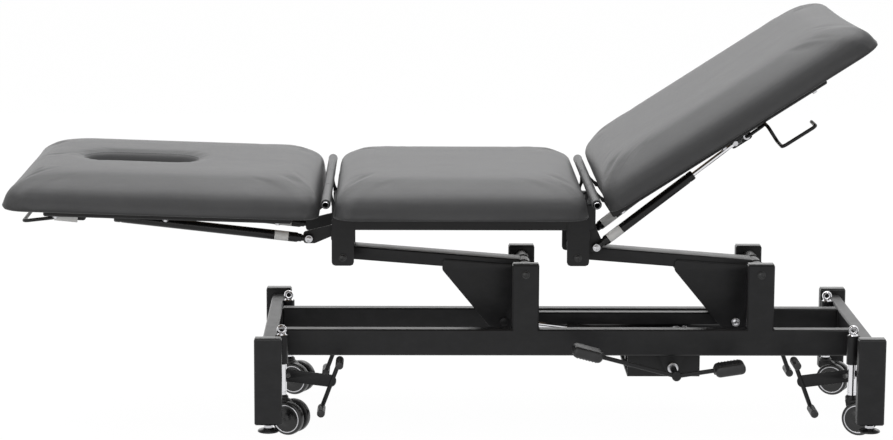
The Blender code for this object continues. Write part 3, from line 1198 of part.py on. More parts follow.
def strut(name, side, body_pivot, rod_pivot):
    """A gas spring: barrel with a pinned eye, and a rod whose head has the release pin."""
    section = SECTIONS[name]
    _, length, _ = strut_line(name)
    y = SIDES[side] * STRUT_Y
    half = STRUT_EYE_WIDTH / 2
    barrel = rod(f"{name}_strut_body_{side}", (STRUT_EYE_RADIUS * STRUT_EYE_NECK_SHARE, y, 0),
                 (section["body"], y, 0), STRUT_RADIUS)
    weld(barrel, cross_rod(f"{name}_strut_eye_{side}", 0, 0, y - half, y + half, STRUT_EYE_RADIUS))
    cut(barrel, cross_rod(f"{name}_strut_eye_bore_{side}", 0, 0, y - STRUT_RADIUS * 2, y + STRUT_RADIUS * 2,
                          around(STRUT_PIN_RADIUS, SMALL_SIDES), SMALL_SIDES))
    cut(barrel, rod(f"{name}_strut_bore_{side}", (section["body"] - section["bore"], y, 0),
                    (section["body"] + CUT_OVERRUN, y, 0), STRUT_ROD_RADIUS + RUNNING_GAP, SMALL_SIDES))
    finish(barrel, "strut_black", body_pivot, local=True)
    piston = rod(f"{name}_strut_rod_{side}", (length - section["rod"], y, 0), (length, y, 0), STRUT_ROD_RADIUS,
                 SMALL_SIDES)
    weld(piston, rod(f"{name}_release_{side}", (length - RELEASE_HEAD_SETBACK, y, 0),
                     (length + section["release"], y, 0), RELEASE_HEAD_RADIUS, SMALL_SIDES))
    inner = STRUT_PLATE_Y + PLATE_THICKNESS + RUNNING_GAP
    weld(piston, cross_rod(f"{name}_strut_stub_{side}", length, 0, *side_range(side, inner, STRUT_Y),
                           STRUT_PIN_RADIUS, SMALL_SIDES))
    finish(piston, "chrome", rod_pivot, local=True)


def release_handle(name, pivot):
    """A bent wire that hooks into both brackets and is lifted to free the struts."""
    section = SECTIONS[name]
    (pivot_x, pivot_z), (end_x, end_z) = section["handle"], section["handle_end"]
    x, z = section["sign"] * (end_x - pivot_x), end_z - pivot_z
    half = [(0, STRUT_Y - HANDLE_HOOK, 0), (0, STRUT_Y, 0), (x, STRUT_Y, z)]
    handle = wire(f"{name}_release_handle", half + [(px, -y, pz) for px, y, pz in reversed(half)],
                  HANDLE_RADIUS, HANDLE_BEND)
    if name == "back":
        weld(handle, back_grip(x, z))
    finish(handle, "black_steel", pivot, local=True)


def back_grip(x, z):
    """The grip that reaches out past the posts on the near side, drops and turns along the table."""
    low = z - GRIP_DROP
    points = [(x, -STRUT_Y + HANDLE_BEND * 2, z), (x, -GRIP_DROP_Y, z), (x, -GRIP_DROP_Y, low),
              (x, -GRIP_Y, low), (x + GRIP_LENGTH, -GRIP_Y, low),
              (x + GRIP_LENGTH, -GRIP_Y + GRIP_RETURN, low)]
    return wire("back_grip", points, HANDLE_RADIUS, HANDLE_BEND)


def build_base():
    for end in ENDS:
        end_frame(end)
        for side in SIDES:
            x, y = ENDS[end] * (HALF_LENGTH - LEG_WIDTH / 2), SIDES[side] * (HALF_WIDTH - LEG_DEPTH / 2)
            levelling_foot(end, side, pivot_at(f"pivot_levelling_{end}_{side}", (x, y, LEG_BOTTOM), ROOT))
    for side in SIDES:
        side_frame(side)
    pump_tray()
    pump_body()
    for end, x in (("head", POST_HEAD_X), ("foot", POST_FOOT_X)):
        half = RAIL_SPREAD / 2
        finish(headed_pin(f"post_shaft_{end}", x, PIVOT_HEIGHT, -half, half), "black_steel")


def build_casters():
    for end in ENDS:
        hub = (ENDS[end] * LEVER_PIVOT_X, 0, LEVER_PIVOT_HEIGHT)
        lever_pivot = pivot_at(f"pivot_wheel_lever_{end}", hub, ROOT)
        wheel_lever(end, lever_pivot)
        for side in SIDES:
            x, y = ENDS[end] * CASTER_X, SIDES[side] * CASTER_Y
            slide = pivot_at(f"pivot_stem_{end}_{side}", (x, y, 0), ROOT)
            swivel = pivot_at(f"pivot_swivel_{end}_{side}", (0, 0, 0), slide, turn_z=CASTER_SWIVEL)
            axle = pivot_at(f"pivot_wheels_{end}_{side}", (CASTER_TRAIL, 0, WHEEL_RADIUS), swivel)
            caster_stem(end, side, slide)
            caster_fork(end, side, swivel)
            caster_wheels(end, side, axle)


def build_lift():
    head_arm = pivot_at("pivot_lift", (POST_HEAD_X, 0, PIVOT_HEIGHT), ROOT)
    foot_arm = pivot_at("pivot_foot_arm", (POST_FOOT_X, 0, PIVOT_HEIGHT), ROOT)
    lift_arm("head", POST_HEAD_X, head_arm)
    lift_arm("foot", POST_FOOT_X, foot_arm)
    crank = (POST_HEAD_X - CRANK_REACH, 0, PIVOT_HEIGHT - CRANK_DROP)
    tie_bar(pivot_at("pivot_tie_bar", crank, ROOT))
    ram_base = (RAM_PIVOT_X, RAM_OFFSET_Y, RAM_PIVOT_HEIGHT)
    ram(pivot_at("pivot_ram", ram_base, ROOT), pivot_at("pivot_ram_rod", ram_base, ROOT))
    pump_lever(pivot_at("pivot_pump_lever", (LEVER_SHAFT_X, 0, LEVER_SHAFT_HEIGHT), ROOT))


def build_top():
    frame_pivot = pivot_at("pivot_top", (POST_HEAD_X - ARM_RUN, 0, TAB_PIVOT_HEIGHT), ROOT)
    centre_frame(frame_pivot)
    low_x, high_x = HEAD_HINGE_X + CUSHION_START, BACK_HINGE_X - CUSHION_START
    board("centre_board", low_x, high_x, CUSHION_BOTTOM, frame_pivot, False)
    cushion("centre_cushion", low_x, high_x, CUSHION_BOTTOM, CUSHION_THICKNESS, frame_pivot, False)
    for name, section in SECTIONS.items():
        turn = -section["sign"] * section["tilt"]
        hinge = pivot_at(f"pivot_{name}_tilt", (section["hinge_x"], 0, HINGE_HEIGHT), ROOT, turn_y=turn)
        tilting_section(name, hinge)
        hinge_sleeve(name, frame_pivot)
        pivot_x, pivot_z = section["handle"]
        grip = pivot_at(f"pivot_{name}_handle", (section["sign"] * pivot_x, 0, pivot_z), hinge)
        release_handle(name, grip)
        foot, _, strut_turn = strut_line(name)
        body_pivot = pivot_at(f"pivot_{name}_struts", foot, ROOT, turn_y=strut_turn)
        for side in SIDES:
            strut(name, side, body_pivot, body_pivot)


def centre_on_origin():
    """Shifts the table so that the middle of its box is over the origin."""
    graph = bpy.context.evaluated_depsgraph_get()
    graph.update()
    values = []
    for piece in TABLE.objects:
        if piece.type == "MESH":
            seen = piece.evaluated_get(graph)
            mesh = seen.to_mesh()
            values += [(piece.matrix_world @ vertex.co).x for vertex in mesh.vertices]
            seen.to_mesh_clear()
    ROOT.location.x = -(min(values) + max(values)) / 2


build_base()
build_casters()
build_lift()
build_top()
bpy.context.view_layer.update()
centre_on_origin()
bpy.context.view_layer.update()
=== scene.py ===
# %% [markdown]
# # A hydraulic massage table
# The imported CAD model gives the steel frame, every place and every joint. This script dresses
# it: padded vinyl cushions, smooth round parts, weld beads, rubber, chrome and powder coat.
# Each piece is made where the CAD node stands and rides on the same body, so it moves with it.

# %% Load the frame
import json
import math

import bmesh
import bpy
from mathutils import Matrix, Vector, noise


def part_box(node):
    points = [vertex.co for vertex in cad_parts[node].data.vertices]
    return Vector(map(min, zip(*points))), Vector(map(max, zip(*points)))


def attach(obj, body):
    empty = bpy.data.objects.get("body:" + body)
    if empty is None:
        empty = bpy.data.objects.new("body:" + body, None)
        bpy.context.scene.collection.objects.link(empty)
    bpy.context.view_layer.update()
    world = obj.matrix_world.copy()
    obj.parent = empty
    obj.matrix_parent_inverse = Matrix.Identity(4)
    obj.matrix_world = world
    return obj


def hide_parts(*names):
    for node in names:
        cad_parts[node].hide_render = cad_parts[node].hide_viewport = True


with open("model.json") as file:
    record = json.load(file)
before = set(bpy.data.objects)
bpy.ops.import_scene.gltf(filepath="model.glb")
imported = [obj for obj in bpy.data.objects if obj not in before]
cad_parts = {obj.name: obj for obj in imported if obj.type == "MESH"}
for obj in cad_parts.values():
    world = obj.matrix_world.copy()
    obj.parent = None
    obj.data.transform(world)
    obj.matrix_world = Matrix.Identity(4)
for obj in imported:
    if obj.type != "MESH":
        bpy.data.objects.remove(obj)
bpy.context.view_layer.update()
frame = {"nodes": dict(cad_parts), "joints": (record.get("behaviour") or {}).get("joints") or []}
JOINTS = {joint["name"]: joint for joint in frame["joints"]}
ENDS = {"head": -1, "foot": 1}
SIDES = {"near": -1, "far": 1}
MM = 0.001
GAP = 0.3 * MM


def pivot(name):
    """Where a joint's axis stands."""
    return Vector(JOINTS[name]["pos_m"])


BASE_X = (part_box("end_frame_head")[0].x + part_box("end_frame_foot")[1].x) / 2
LEG_OUT, LEG_Y, POST_Y = 663 * MM, 290 * MM, 120 * MM

# %% [markdown]
# ## The camera
# The photograph was taken from far away with a long lens, so the table is nearly free of
# perspective. Its place, turn and focal length come from a fit to the corners of the legs,
# rails and posts, whose sizes are known.

# %% Camera
CAMERA_PLACE = Vector((BASE_X - 0.3725, -6.3095, 1.5255))
CAMERA_YAW, CAMERA_PITCH, CAMERA_ROLL = (math.radians(angle) for angle in (0.945, 9.694, 0.275))
FOCAL_PIXELS, IMAGE_WIDTH, SENSOR_WIDTH = 2808.1, 893, 36.0

camera = bpy.data.objects.new("camera", bpy.data.cameras.new("camera"))
bpy.context.scene.collection.objects.link(camera)
camera.data.sensor_width = SENSOR_WIDTH
camera.data.lens = FOCAL_PIXELS / IMAGE_WIDTH * SENSOR_WIDTH
aim = Matrix.Rotation(-CAMERA_YAW, 4, "Z") @ Matrix.Rotation(math.pi / 2 - CAMERA_PITCH, 4, "X")
camera.matrix_world = Matrix.Translation(CAMERA_PLACE) @ aim @ Matrix.Rotation(CAMERA_ROLL, 4, "Z")
bpy.context.scene.camera = camera
bpy.context.scene.view_settings.view_transform = "Standard"
print("lens", round(camera.data.lens, 1), "mm")

# %% [markdown]
# ## Shader maths written as Python
# A node tree is a sum: one socket plus another, times a third. The small class below wraps
# an output socket and gives it Python's operators, so `1 - mask * 0.4` makes the two Math
# nodes that say the same. Every other kind of node comes from one method, `Finish.node`.

# %% Sockets with operators
class Signal:
    """An output socket that can be added, subtracted and multiplied."""

    def __init__(self, finish, socket):
        self.finish, self.socket = finish, socket

    def math(self, operation, first, second=0.0):
        return self.finish.node("ShaderNodeMath", {"operation": operation}, {0: first, 1: second})

    def __add__(self, other):
        return self.math("ADD", self, other)

    def __sub__(self, other):
        return self.math("SUBTRACT", self, other)

    def __rsub__(self, other):
        return self.math("SUBTRACT", other, self)

    def __mul__(self, other):
        return self.math("MULTIPLY", self, other)

    def over(self, level):
        """1 where the value is over a level, else 0."""
        return self.math("GREATER_THAN", self, level)

    __radd__, __rmul__ = __add__, __mul__


class Finish:
    """One material and the few nodes that every finish here shares."""

    def __init__(self, name, roughness, metallic=0.0, coat=0.0):
        self.material = bpy.data.materials.new(name)
        self.material.use_nodes = True
        self.tree = self.material.node_tree
        self.shader = self.tree.nodes["Principled BSDF"]
        self.shader.inputs["Roughness"].default_value = roughness
        self.shader.inputs["Metallic"].default_value = metallic
        self.shader.inputs["Coat Weight"].default_value = coat
        self.place = self.node("ShaderNodeTexCoord", output="Object")

    def node(self, kind, settings=None, inputs=None, output=0):
        """Adds a node: its settings first, then the values or links of its sockets."""
        new = self.tree.nodes.new(kind)
        for name, value in (settings or {}).items():
            if name == "stops":
                self.set_stops(new.color_ramp, value)
            else:
                setattr(new, name, value)
        for name, value in (inputs or {}).items():
            self.feed(new.inputs[name], value)
        return Signal(self, new.outputs[output])

    def feed(self, socket, value):
        if isinstance(value, Signal):
            self.tree.links.new(value.socket, socket)
        else:
            socket.default_value = value

    def set_stops(self, ramp, stops):
        """The stops of a colour ramp, as pairs of a place and a grey or a colour."""
        while len(ramp.elements) < len(stops):
            ramp.elements.new(1.0)
        for element, (place, colour) in zip(ramp.elements, stops):
            element.position = place
            element.color = (*colour, 1) if isinstance(colour, tuple) else (colour, colour, colour, 1)

    def clouds(self, scale, detail=3.0, stretch=(1, 1, 1), roughness=0.5):
        """Soft noise with a given number of clouds per metre."""
        place = self.node("ShaderNodeMapping", {}, {"Vector": self.place, "Scale": stretch})
        inputs = {"Vector": place, "Scale": scale, "Detail": detail, "Roughness": roughness}
        return self.node("ShaderNodeTexNoise", {}, inputs, "Fac")

    def cells(self, scale, feature="DISTANCE_TO_EDGE", stretch=(1, 1, 1)):
        """Cells like grain, with the distance to their edges."""
        place = self.node("ShaderNodeMapping", {}, {"Vector": self.place, "Scale": stretch})
        return self.node("ShaderNodeTexVoronoi", {"feature": feature}, {"Vector": place, "Scale": scale},
                         "Distance")

    def ramp(self, value, *stops):
        return self.node("ShaderNodeValToRGB", {"stops": stops}, {"Fac": value}, "Color")

    def blend(self, share, first, second):
        """A colour between two colours."""
        inputs = {0: share, 6: rgba(first), 7: rgba(second)}
        return self.node("ShaderNodeMix", {"data_type": "RGBA"}, inputs, 2)

    def bump(self, height, depth, strength=1.0, below=None):
        """Relief from a height of 0 to 1, with its depth in metres."""
        inputs = {"Height": height, "Distance": depth, "Strength": strength}
        if below:
            inputs["Normal"] = below
        return self.node("ShaderNodeBump", {}, inputs, "Normal")

    def paint(self, **sockets):
        """Feeds the shader: Base_Color=..., Roughness=..., Normal=..."""
        for name, value in sockets.items():
            value = rgba(value) if name == "Base_Color" else value
            self.feed(self.shader.inputs[name.replace("_", " ")], value)
        return self


def rgba(colour):
    return (*colour, 1.0) if isinstance(colour, tuple) and len(colour) == 3 else colour


# %% [markdown]
# ## Vinyl over foam
# The cushions are wrapped in mid grey upholstery vinyl. Its grain is a net of shallow
# creases about 1.5 mm apart, so cell edges make the relief, a little noise breaks them up,
# and the creases are slightly duller and painted darker, a painted shade in the creases of
# the grain. Larger, very soft clouds stand for the foam below.

# %% Vinyl
GRAIN_PER_METRE = 620
VINYL_GREY = (0.048, 0.048, 0.049)
VINYL_DARK = (0.040, 0.040, 0.041)


def make_vinyl(name, light=VINYL_GREY, dark=VINYL_DARK):
    vinyl = Finish(name, 0.5)
    vinyl.shader.inputs["Specular IOR Level"].default_value = 0.25
    grain = vinyl.ramp(vinyl.cells(GRAIN_PER_METRE), (0.0, 0.0), (0.12, 0.8), (0.4, 1.0))
    pores = vinyl.clouds(1900, 2.0)
    foam = vinyl.clouds(9.0, 3.0, (1, 1.6, 1), 0.55)
    creases = vinyl.clouds(38.0, 4.0, (1, 2.4, 1), 0.6)
    tone = foam * 0.6 + creases * 0.4
    colour = vinyl.blend(vinyl.ramp(tone, (0.35, 0.0), (0.65, 1.0)), dark, light)
    # painted shade: the creases at the cell edges of the grain are blended towards near black
    colour = vinyl.blend(grain * 0.8 + 0.2, vinyl.blend(0.4, colour, (0.02, 0.02, 0.02)), colour)
    relief = vinyl.bump(foam, 2.2 * MM, 0.55)
    relief = vinyl.bump(creases, 0.5 * MM, 0.5, relief)
    relief = vinyl.bump(grain * 0.8 + pores * 0.2, 0.12 * MM, 0.6, relief)
    return vinyl.paint(Base_Color=colour, Roughness=0.55 - grain * 0.09 + creases * 0.06, Normal=relief)


VINYL = make_vinyl("grey_upholstery_vinyl")
SEAM = make_vinyl("thread_in_the_seam", (0.17, 0.17, 0.172), (0.12, 0.12, 0.122))

# %% [markdown]
# ## Powder coat on steel
# Powder coat is a baked plastic film. It is almost black, dull-glossy, and has a fine
# orange-peel relief. Dust lies on it in faint clouds and the coat is a little thinner and
# shinier where hands and feet touch, which a worn patch pattern stands for.

# %% Powder coat
def make_coat(name, colour, roughness, peel=0.05, specular=0.5):
    coat = Finish(name, roughness)
    coat.shader.inputs["Specular IOR Level"].default_value = specular
    dust = coat.clouds(26.0, 5.0, (1, 1, 1.5), 0.62)
    fine = coat.clouds(900.0, 2.0)
    wear = coat.ramp(coat.clouds(70.0, 6.0, roughness=0.7), (0.62, 0.0), (0.72, 1.0))
    lighter = tuple(value * 1.35 + 0.003 for value in colour)
    tone = coat.blend(coat.ramp(dust, (0.4, 0.0), (0.75, 1.0)), colour, lighter)
    relief = coat.bump(fine, peel * MM, 0.5)
    return coat.paint(Base_Color=tone, Roughness=roughness + dust * 0.12 - wear * 0.06, Normal=relief)


COAT = make_coat("black_powder_coat", (0.0100, 0.0100, 0.0107), 0.36, specular=0.26)
BARREL = make_coat("gloss_black_barrel", (0.004, 0.004, 0.0045), 0.20, 0.02, 0.3)
PLASTIC = make_coat("black_moulded_plastic", (0.006, 0.006, 0.0065), 0.30, 0.08, 0.35)
BOLT = make_coat("black_oxide_bolt", (0.006, 0.006, 0.0065), 0.22, 0.02)
WELD = make_coat("weld_under_coat", (0.007, 0.007, 0.0075), 0.40, 0.08, 0.32)

# %% [markdown]
# ## Rubber, chrome, zinc, paper and wood
# Rubber is dull with a fine mottle. Chrome mirrors the pale room and has hair-fine turning
# marks across the bar. The zinc of nuts and screws is softer. Bands of plain paper sit on the
# struts, and the boards are birch plywood, whose plies show as stripes on the edge.

# %% Rubber, metals, paper and plywood
def make_rubber(name, colour, roughness):
    rubber = Finish(name, roughness)
    mottle = rubber.clouds(420.0, 4.0)
    bloom = rubber.clouds(35.0, 4.0)
    tone = rubber.blend(rubber.ramp(bloom, (0.4, 0.0), (0.8, 1.0)), colour,
                        tuple(v * 1.8 + 0.004 for v in colour))
    relief = rubber.bump(mottle, 0.15 * MM, 0.6)
    return rubber.paint(Base_Color=tone, Roughness=roughness + mottle * 0.15 - 0.07, Normal=relief)


def make_metal(name, colour, roughness, marks=(1, 1, 1)):
    metal = Finish(name, roughness, metallic=1.0)
    lines = metal.clouds(800.0, 3.0, marks)
    smudge = metal.clouds(60.0, 4.0)
    tone = metal.blend(smudge, colour, tuple(v * 0.86 for v in colour))
    relief = metal.bump(lines, 0.02 * MM, 0.35)
    return metal.paint(Base_Color=tone, Roughness=roughness + smudge * 0.08 + lines * 0.05 - 0.06,
                       Normal=relief)


def make_paper():
    paper = Finish("plain_white_paper", 0.6)
    fibres = paper.clouds(700.0, 3.0)
    relief = paper.bump(fibres, 0.05 * MM, 0.4)
    return paper.paint(Base_Color=paper.blend(fibres, (0.80, 0.80, 0.79), (0.88, 0.88, 0.87)),
                       Normal=relief)


PLY_PER_METRE = 420.0


def make_plywood():
    wood = Finish("birch_plywood", 0.62)
    height = wood.node("ShaderNodeSeparateXYZ", {}, {0: wood.place}, "Z")
    plies = height.math("SINE", height * PLY_PER_METRE)
    edge = wood.ramp(plies * 0.5 + 0.5, (0.35, 0.0), (0.65, 1.0))
    grain = wood.clouds(60.0, 6.0, (0.12, 1.0, 1.0), 0.65)
    face = wood.node("ShaderNodeNewGeometry", output="Normal")
    up = wood.node("ShaderNodeSeparateXYZ", {}, {0: face}, "Z")
    flat = up.math("ABSOLUTE", up).over(0.7)
    sheet = wood.blend(wood.ramp(grain, (0.3, 0.0), (0.7, 1.0)), (0.36, 0.25, 0.145), (0.50, 0.37, 0.23))
    side = wood.blend(edge, (0.24, 0.16, 0.09), (0.47, 0.34, 0.21))
    relief = wood.bump(grain, 0.2 * MM, 0.5)
    return wood.paint(Base_Color=wood.blend(flat, side, sheet), Normal=relief)


RUBBER = make_rubber("black_rubber", (0.0065, 0.0065, 0.007), 0.45)
TYRE = make_rubber("grey_black_tyre", (0.008, 0.008, 0.0085), 0.36)
WHEEL_SIDE = make_rubber("dark_wheel_side", (0.004, 0.004, 0.0045), 0.26)
CHROME = make_metal("bright_chrome", (0.80, 0.80, 0.82), 0.13, (1, 1, 12))
ZINC = make_metal("zinc_plate", (0.62, 0.62, 0.64), 0.30)
STEEL = make_metal("bright_steel_rim", (0.70, 0.70, 0.72), 0.22)
PAPER = make_paper()
PLYWOOD = make_plywood()
print("finishes", len(bpy.data.materials))

# %% [markdown]
# ## Shapes as small meshes
# Each helper below returns a bmesh: a box with rounded edges, a turned part, a bent wire or
# a plate cut from an outline. `make` joins some of them into one piece, gives it a finish,
# lets it ride on a body and, where it stands for CAD nodes, hides those.

# %% Shape helpers
ROUND = 40
DOME_END_SHARE, DOME_LENGTH_SHARE = 0.55, 0.35
SMOOTH_ANGLE = math.radians(32)


def box(low, high, edge=1.5 * MM, steps=3):
    """A box between two corners with rounded edges."""
    low, high = Vector(low), Vector(high)
    shape = bmesh.new()
    bmesh.ops.create_cube(shape, size=1)
    bmesh.ops.transform(shape, verts=shape.verts,
                        matrix=Matrix.Translation((low + high) / 2) @ Matrix.Diagonal((*(high - low), 1)))
    if edge:
        bmesh.ops.bevel(shape, geom=shape.edges[:], offset=edge, segments=steps, profile=0.5,
                        affect="EDGES")
    return shape


def beam(start, end, width, height, edge=3 * MM):
    """A square tube along a line in the XZ plane, with its width along Y."""
    start, end = Vector(start), Vector(end)
    run = end - start
    shape = box((-run.length / 2, -width / 2, -height / 2), (run.length / 2, width / 2, height / 2), edge)
    pitch = Matrix.Rotation(math.atan2(-run.z, run.x), 4, "Y")
    return moved(shape, Matrix.Translation((start + end) / 2) @ pitch)


def moved(shape, matrix):
    bmesh.ops.transform(shape, verts=shape.verts, matrix=matrix)
    return shape


def in_mm(*pairs):
    """A profile or an outline that is written in millimetres."""
    return [(first * MM, second * MM) for first, second in pairs]


def in_mm_from(distance, *pairs):
    """Pairs in millimetres, the first value of each counted from a distance in metres."""
    return [(distance + a * MM, b * MM) for a, b in pairs]


def ring_in_mm(*pairs):
    """The same, closed, so that `lathe` turns it into a ring."""
    return in_mm(*pairs, pairs[0])


def skinned(shape, rings):
    """Faces from one ring of points to the next, and both ends closed."""
    for first, second in zip(rings, rings[1:]):
        for step in range(len(first)):
            after = (step + 1) % len(first)
            shape.faces.new((first[step], first[after], second[after], second[step]))
    shape.faces.new(list(reversed(rings[0])))
    shape.faces.new(rings[-1])
    bmesh.ops.recalc_face_normals(shape, faces=shape.faces)
    return shape


def round_ring(shape, middle, side, up, radius, steps):
    """Points on a circle that two directions at right angles span."""
    turns = (2 * math.pi * step / steps for step in range(steps))
    spots = (middle + (side * math.cos(turn) + up * math.sin(turn)) * radius for turn in turns)
    return [shape.verts.new(spot) for spot in spots]


def lathe(start, direction, profile, steps=ROUND, caps=True):
    """A turned part: pairs of a distance along the line and a radius. A closed loop makes a ring."""
    shape = bmesh.new()
    loop = profile[0] == profile[-1]
    profile = profile[:-1] if loop else profile
    direction = Vector(direction).normalized()
    frame_turn = direction.to_track_quat("Z", "Y").to_matrix()
    rings = []
    for along, radius in profile:
        if radius <= 0:
            rings.append([shape.verts.new(Vector(start) + direction * along)])
            continue
        ring = []
        for step in range(steps):
            turn = 2 * math.pi * step / steps
            out = frame_turn @ Vector((math.cos(turn) * radius, math.sin(turn) * radius, 0))
            ring.append(shape.verts.new(Vector(start) + direction * along + out))
        rings.append(ring)
    for first, second in zip(rings, rings[1:] + rings[:1] if loop else rings[1:]):
        for step in range(steps):
            corners = [first[step % len(first)], first[(step + 1) % len(first)],
                       second[(step + 1) % len(second)], second[step % len(second)]]
            corners = list(dict.fromkeys(corners))
            if len(corners) > 2:
                shape.faces.new(corners)
    for ring in (rings[0], rings[-1]):
        if len(ring) > 1 and caps and not loop:
            shape.faces.new(ring)
    bmesh.ops.recalc_face_normals(shape, faces=shape.faces)
    return shape


def rounded(length, radius, edge=1 * MM, start=0.0):
    """The profile of a cylinder with softened ends."""
    half = edge * 0.3
    return [(start, 0), (start, radius - edge), (start + half, radius - half), (start + edge, radius),
            (start + length - edge, radius), (start + length - half, radius - half),
            (start + length, radius - edge), (start + length, 0)]


def cylinder(start, end, radius, edge=1 * MM, steps=ROUND):
    start, end = Vector(start), Vector(end)
    return lathe(start, end - start, rounded((end - start).length, radius, edge), steps)


def across(x, z, y_low, y_high, radius, edge=1 * MM):
    """A round bar along Y."""
    return cylinder((x, y_low, z), (x, y_high, z), radius, edge)


def arc(centre, start, end, steps):
    first, last = start - centre, end - centre
    normal, turn = first.cross(last).normalized(), first.angle(last)
    return [centre + Matrix.Rotation(turn * step / steps, 3, normal) @ first for step in range(steps + 1)]


def smooth_path(points, radius, steps=8):
    """A path with round bends of one radius."""
    points = [Vector(point) for point in points]
    path = [points[0]]
    for before, corner, after in zip(points, points[1:], points[2:]):
        inward, outward = (before - corner).normalized(), (after - corner).normalized()
        half = inward.angle(outward) / 2
        if half > math.radians(89.5):
            path.append(corner)
            continue
        setback = min(radius / math.tan(half), (before - corner).length / 2, (after - corner).length / 2)
        centre = corner + (inward + outward).normalized() * (setback / math.cos(half))
        path += arc(centre, corner + inward * setback, corner + outward * setback, steps)
    return path + [points[-1]]


def swept(path, radius, steps=20):
    """A round wire along a path, its frame carried without twist, with domed ends."""
    path = [Vector(point) for point in path]
    path = [path[0]] + [b for a, b in zip(path, path[1:]) if (b - a).length > 1e-6]
    shape, rings = bmesh.new(), []
    tangents = [(after - before).normalized() for before, after in
                zip([path[0]] + path[:-1], path[1:] + [path[-1]])]
    side = tangents[0].orthogonal().normalized()
    dome = radius * DOME_LENGTH_SHARE
    stations = [(path[0], tangents[0], DOME_END_SHARE), (path[0] + tangents[0] * dome, tangents[0], 1)]
    stations += [(point, tangent, 1) for point, tangent in zip(path[1:-1], tangents[1:-1])]
    stations += [(path[-1] - tangents[-1] * dome, tangents[-1], 1),
                 (path[-1], tangents[-1], DOME_END_SHARE)]
    for point, tangent, share in stations:
        side = (side - tangent * side.dot(tangent)).normalized()
        rings.append(round_ring(shape, point, side, tangent.cross(side), radius * share, steps))
    return skinned(shape, rings)


def wire(points, radius, bend, steps=20):
    return swept(smooth_path(points, bend), radius, steps)


def rounded_outline(points, radius, steps=6):
    """A closed outline in the plane with every corner rounded."""
    closed = [Vector((x, y, 0)) for x, y in points]
    start = closed[0].lerp(closed[1], 0.5)
    path = smooth_path([start] + closed[1:] + [closed[0], start], radius, steps)
    return [(point.x, point.y) for point in path[1:-1]]


def circle(x, z, radius, steps=ROUND):
    return [(x + radius * math.cos(2 * math.pi * step / steps),
             z + radius * math.sin(2 * math.pi * step / steps))
            for step in range(steps)]


def cut_plate(outline, low, high, holes=(), edge=0.5 * MM, upright=True):
    """A plate between two heights of Y (upright) or Z, cut from its outline with holes."""
    curve = bpy.data.curves.new("outline", "CURVE")
    curve.dimensions, curve.fill_mode = "2D", "BOTH"
    curve.extrude = (high - low) / 2 - edge
    curve.bevel_depth, curve.bevel_resolution, curve.offset = edge, 1, -edge
    for loop in (outline, *holes):
        spline = curve.splines.new("POLY")
        spline.points.add(len(loop) - 1)
        spline.use_cyclic_u = True
        for point, (x, y) in zip(spline.points, loop):
            point.co = (x, y, 0, 1)
    carrier = bpy.data.objects.new("outline", curve)
    bpy.context.scene.collection.objects.link(carrier)
    bpy.context.view_layer.update()
    mesh = bpy.data.meshes.new_from_object(carrier.evaluated_get(bpy.context.evaluated_depsgraph_get()))
    shape = bmesh.new()
    shape.from_mesh(mesh)
    bmesh.ops.remove_doubles(shape, verts=shape.verts, dist=1e-5)
    bpy.data.objects.remove(carrier)
    bpy.data.meshes.remove(mesh)
    if upright:
        turn = Matrix.Rotation(math.pi / 2, 4, "X")
        return moved(shape, Matrix.Translation((0, (low + high) / 2, 0)) @ turn)
    return moved(shape, Matrix.Translation((0, 0, (low + high) / 2)))


def weld_bead(points, radius=2.0 * MM):
    """A fillet weld: a rope whose thickness ripples from scale to scale along a line."""
    points = [Vector(point) for point in points]
    path = []
    for first, second in zip(points, points[1:]):
        count = max(2, int((second - first).length / (radius * 1.1)))
        path += [first.lerp(second, step / count) for step in range(count)]
    path.append(points[-1])
    shape, rings, last = bmesh.new(), [], len(path) - 1
    for index, point in enumerate(path):
        ahead = (path[min(index + 1, last)] - path[max(index - 1, 0)]).normalized()
        side = ahead.orthogonal().normalized()
        size = radius * (0.35 if index in (0, last) else (1.0 if index % 2 else 0.84))
        rings.append(round_ring(shape, point, side, ahead.cross(side), size, 8))
    return skinned(shape, rings)


def make(name, body, finish, slot, *shapes, nodes=(), matrix=None):
    """Joins shapes into one piece, which rides on a body and may stand for CAD nodes."""
    mesh = bpy.data.meshes.new(name)
    whole = bmesh.new()
    for shape in shapes:
        part = bpy.data.meshes.new("part")
        shape.to_mesh(part)
        shape.free()
        whole.from_mesh(part)
        bpy.data.meshes.remove(part)
    if matrix:
        moved(whole, matrix)
    whole.to_mesh(mesh)
    whole.free()
    mesh.materials.append(finish.material)
    mesh.shade_smooth()
    mesh.set_sharp_from_angle(angle=SMOOTH_ANGLE)
    piece = bpy.data.objects.new(name, mesh)
    bpy.context.scene.collection.objects.link(piece)
    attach(piece, body)
    if nodes:
        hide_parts(*nodes)
    return piece


# %% [markdown]
# ## Steel that stays as the CAD drew it
# The welded box-tube frames have the right shape already, so they stay and get the powder
# coat. A narrow bevel would cost much and show little: their tube edges are rounded in CAD.

# %% Finishes for the CAD nodes that stay
STEEL_FRAMES = ("end_frame_head", "end_frame_foot", "side_frame_near", "side_frame_far", "pump_tray",
                "centre_frame", "head_frame", "back_frame", "tie_bar")
BOARDS = ("head_board", "centre_board", "back_board")
for finish, node_names in ((COAT, STEEL_FRAMES), (PLYWOOD, BOARDS)):
    for node_name in node_names:
        node = frame["nodes"][node_name]
        node.data.materials.clear()
        node.data.materials.append(finish.material)
        for face in node.data.polygons:
            face.material_index = 0
print("kept from the CAD model", len(STEEL_FRAMES) + len(BOARDS))

# %% [markdown]
# ## Cushions
# A cushion starts as rings: a rounded outline at each height of its side, then the crown.
# It is fullest low down, has a tight lower edge over the board and leans in to a wide,
# soft upper edge. The foam's push comes from Blender's cloth: the skin is remeshed to even
# squares, pinned along its lower edge and blown up for twenty steps, and no point may move
# further than a cap. The pocket for the board is cut out last.

